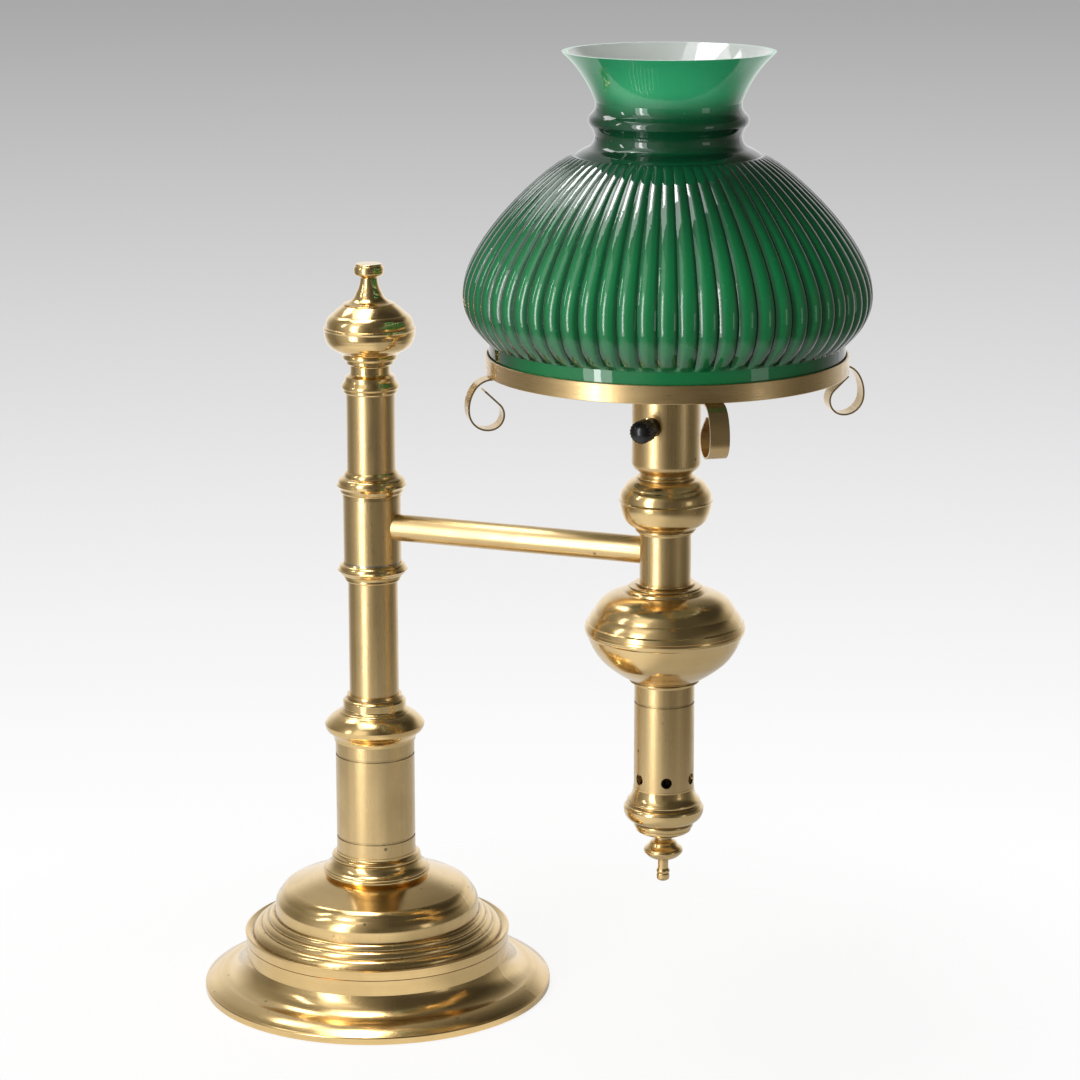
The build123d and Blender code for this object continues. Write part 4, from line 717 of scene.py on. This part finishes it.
# %% [markdown]
# ## Knob, bushing and lead sleeve
# The turn knob is a pressed black moulding. Its flutes catch pale dust, and its tops are
# rubbed smoother than the rest. The inlet bushing and the sleeves of the two leads are
# softer, and nearly matt, the bushing black and the sleeves old gold.

# %% Mouldings
dust_grey = (0.16, 0.15, 0.13, 1)


def moulding(name, colour, rubbed, dull, dust):
    """A moulded piece, rubbed in some places, dull in others, with dust in its corners."""
    material, tree, sockets, place = new_finish(name)
    grain = noise(tree, place, 1400.0, 2.0)
    corner = use_group(tree, corners_soiled_and_shaded, Place=place, Reach=0.0012)["Dirt"]
    tone = blend_colour(tree, grain, colour, tuple(1.5 * c for c in colour[:3]) + (1,))
    tone = stain(tree, tone, corner, dust, dust_grey)
    feed(tree, sockets["Base Color"], tone)
    feed(tree, sockets["Roughness"], ease(tree, grain, 0.3, 0.7, rubbed, dull))
    bump(tree, sockets, grain, 0.00002, 0.5)
    return material


for slot_name, row in {
    "black_knob": ("black knob", (0.009, 0.009, 0.010, 1), 0.16, 0.26, 0.6),
    "black_bushing": ("black bushing", (0.016, 0.016, 0.016, 1), 0.45, 0.62, 0.4),
    "lead_sleeve": ("lead sleeve", (0.24, 0.14, 0.035, 1), 0.45, 0.6, 0.3),
}.items():
    finishes[slot_name] = moulding(*row)

# %% [markdown]
# ## Porcelain, steel, iron and felt
# These are the pieces that hold the lamp together or weigh it down, seen through the
# vents, from below or with the shade lifted. Porcelain has a thick glaze over a warm
# white body. Plain steel is zinc plated and cloudy. The ballast is cast iron with a
# sandy skin. The felt is wool pressed into a mat, with loose fibres on top.

# %% Inner finishes
porcelain, tree, sockets, place = new_finish("glazed porcelain")
body = noise(tree, place, 140.0, 4.0)
tone = blend_colour(tree, body, (0.72, 0.69, 0.62, 1), (0.82, 0.80, 0.74, 1))
feed(tree, sockets["Base Color"], tone)
feed(tree, sockets["Roughness"], ease(tree, body, 0.3, 0.7, 0.12, 0.22))
bump(tree, sockets, body, 0.0001, 0.3)
finishes["socket_porcelain"] = porcelain

steel, tree, sockets, place = new_finish("zinc plated steel", metallic=1.0)
clouding = use_group(tree, tarnish, Place=place, Cloud_Scale=120.0, Speck_Scale=420.0)
tone = blend_colour(tree, clouding["Clouds"], (0.56, 0.56, 0.57, 1), (0.40, 0.40, 0.41, 1))
tone = blend_colour(tree, clouding["Specks"], tone, (0.20, 0.13, 0.08, 1))
feed(tree, sockets["Base Color"], tone)
feed(tree, sockets["Roughness"], ease(tree, clouding["Clouds"], 0.0, 1.0, 0.3, 0.48))
finishes["plain_steel"] = steel

iron, tree, sockets, place = new_finish("cast iron", metallic=0.6)
sand = noise(tree, place, 700.0, 5.0, 0.7)
rust = ease(tree, noise(tree, place, 45.0, 4.0), 0.5, 0.75)
tone = blend_colour(tree, sand, (0.10, 0.10, 0.10, 1), (0.19, 0.185, 0.18, 1))
tone = stain(tree, tone, rust, 0.4, (0.21, 0.10, 0.05, 1))
feed(tree, sockets["Base Color"], tone)
feed(tree, sockets["Roughness"], ease(tree, sand, 0.3, 0.7, 0.55, 0.75))
bump(tree, sockets, sand, 0.0003, 0.8)
finishes["grey_iron"] = iron

felt, tree, sockets, place = new_finish("green felt")
fibre = noise(tree, vector_sum(tree, "MULTIPLY", place, (900, 2600, 2600)), 1.0, 5.0, 0.75)
clump = noise(tree, place, 160.0, 3.0)
tone = blend_colour(tree, fibre, (0.022, 0.060, 0.034, 1), (0.060, 0.130, 0.078, 1))
tone = stain(tree, tone, clump, 0.4, (0.09, 0.13, 0.09, 1))
feed(tree, sockets["Base Color"], tone)
sockets["Roughness"].default_value = 0.95
sockets["Sheen Weight"].default_value = 0.4
bump(tree, sockets, fibre, 0.0004, 0.8)
finishes["green_felt"] = felt

# %% [markdown]
# ## Dressing the solids
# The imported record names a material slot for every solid, and the loaded meshes carry
# that name. Turned brass goes by the axis that a piece was turned on. Drawn brass goes
# by the way that its lines run.

# %% Finishes onto the solids
burner_solids = [name for name, solid in frame["nodes"].items() if solid["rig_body"] != "stand"]
scroll_strips = [name for name in frame["nodes"] if name.startswith("scroll_strip")]
flat_strips = ["shade_ring"] + scroll_strips
worn = {}
for name, solid in frame["nodes"].items():
    slot_name = solid.material_slots[0].material.name
    if slot_name == "turned_brass":
        finish = burner_brass if name in burner_solids else stand_brass
    elif slot_name != "drawn_brass":
        finish = finishes[slot_name]
    elif name == "arm_tube":
        finish = arm_brass
    else:
        finish = strip_brass if name in flat_strips else upright_brass
    for slot in solid.material_slots:
        slot.material = finish
    worn[finish.name] = worn.get(finish.name, 0) + 1
print(worn)
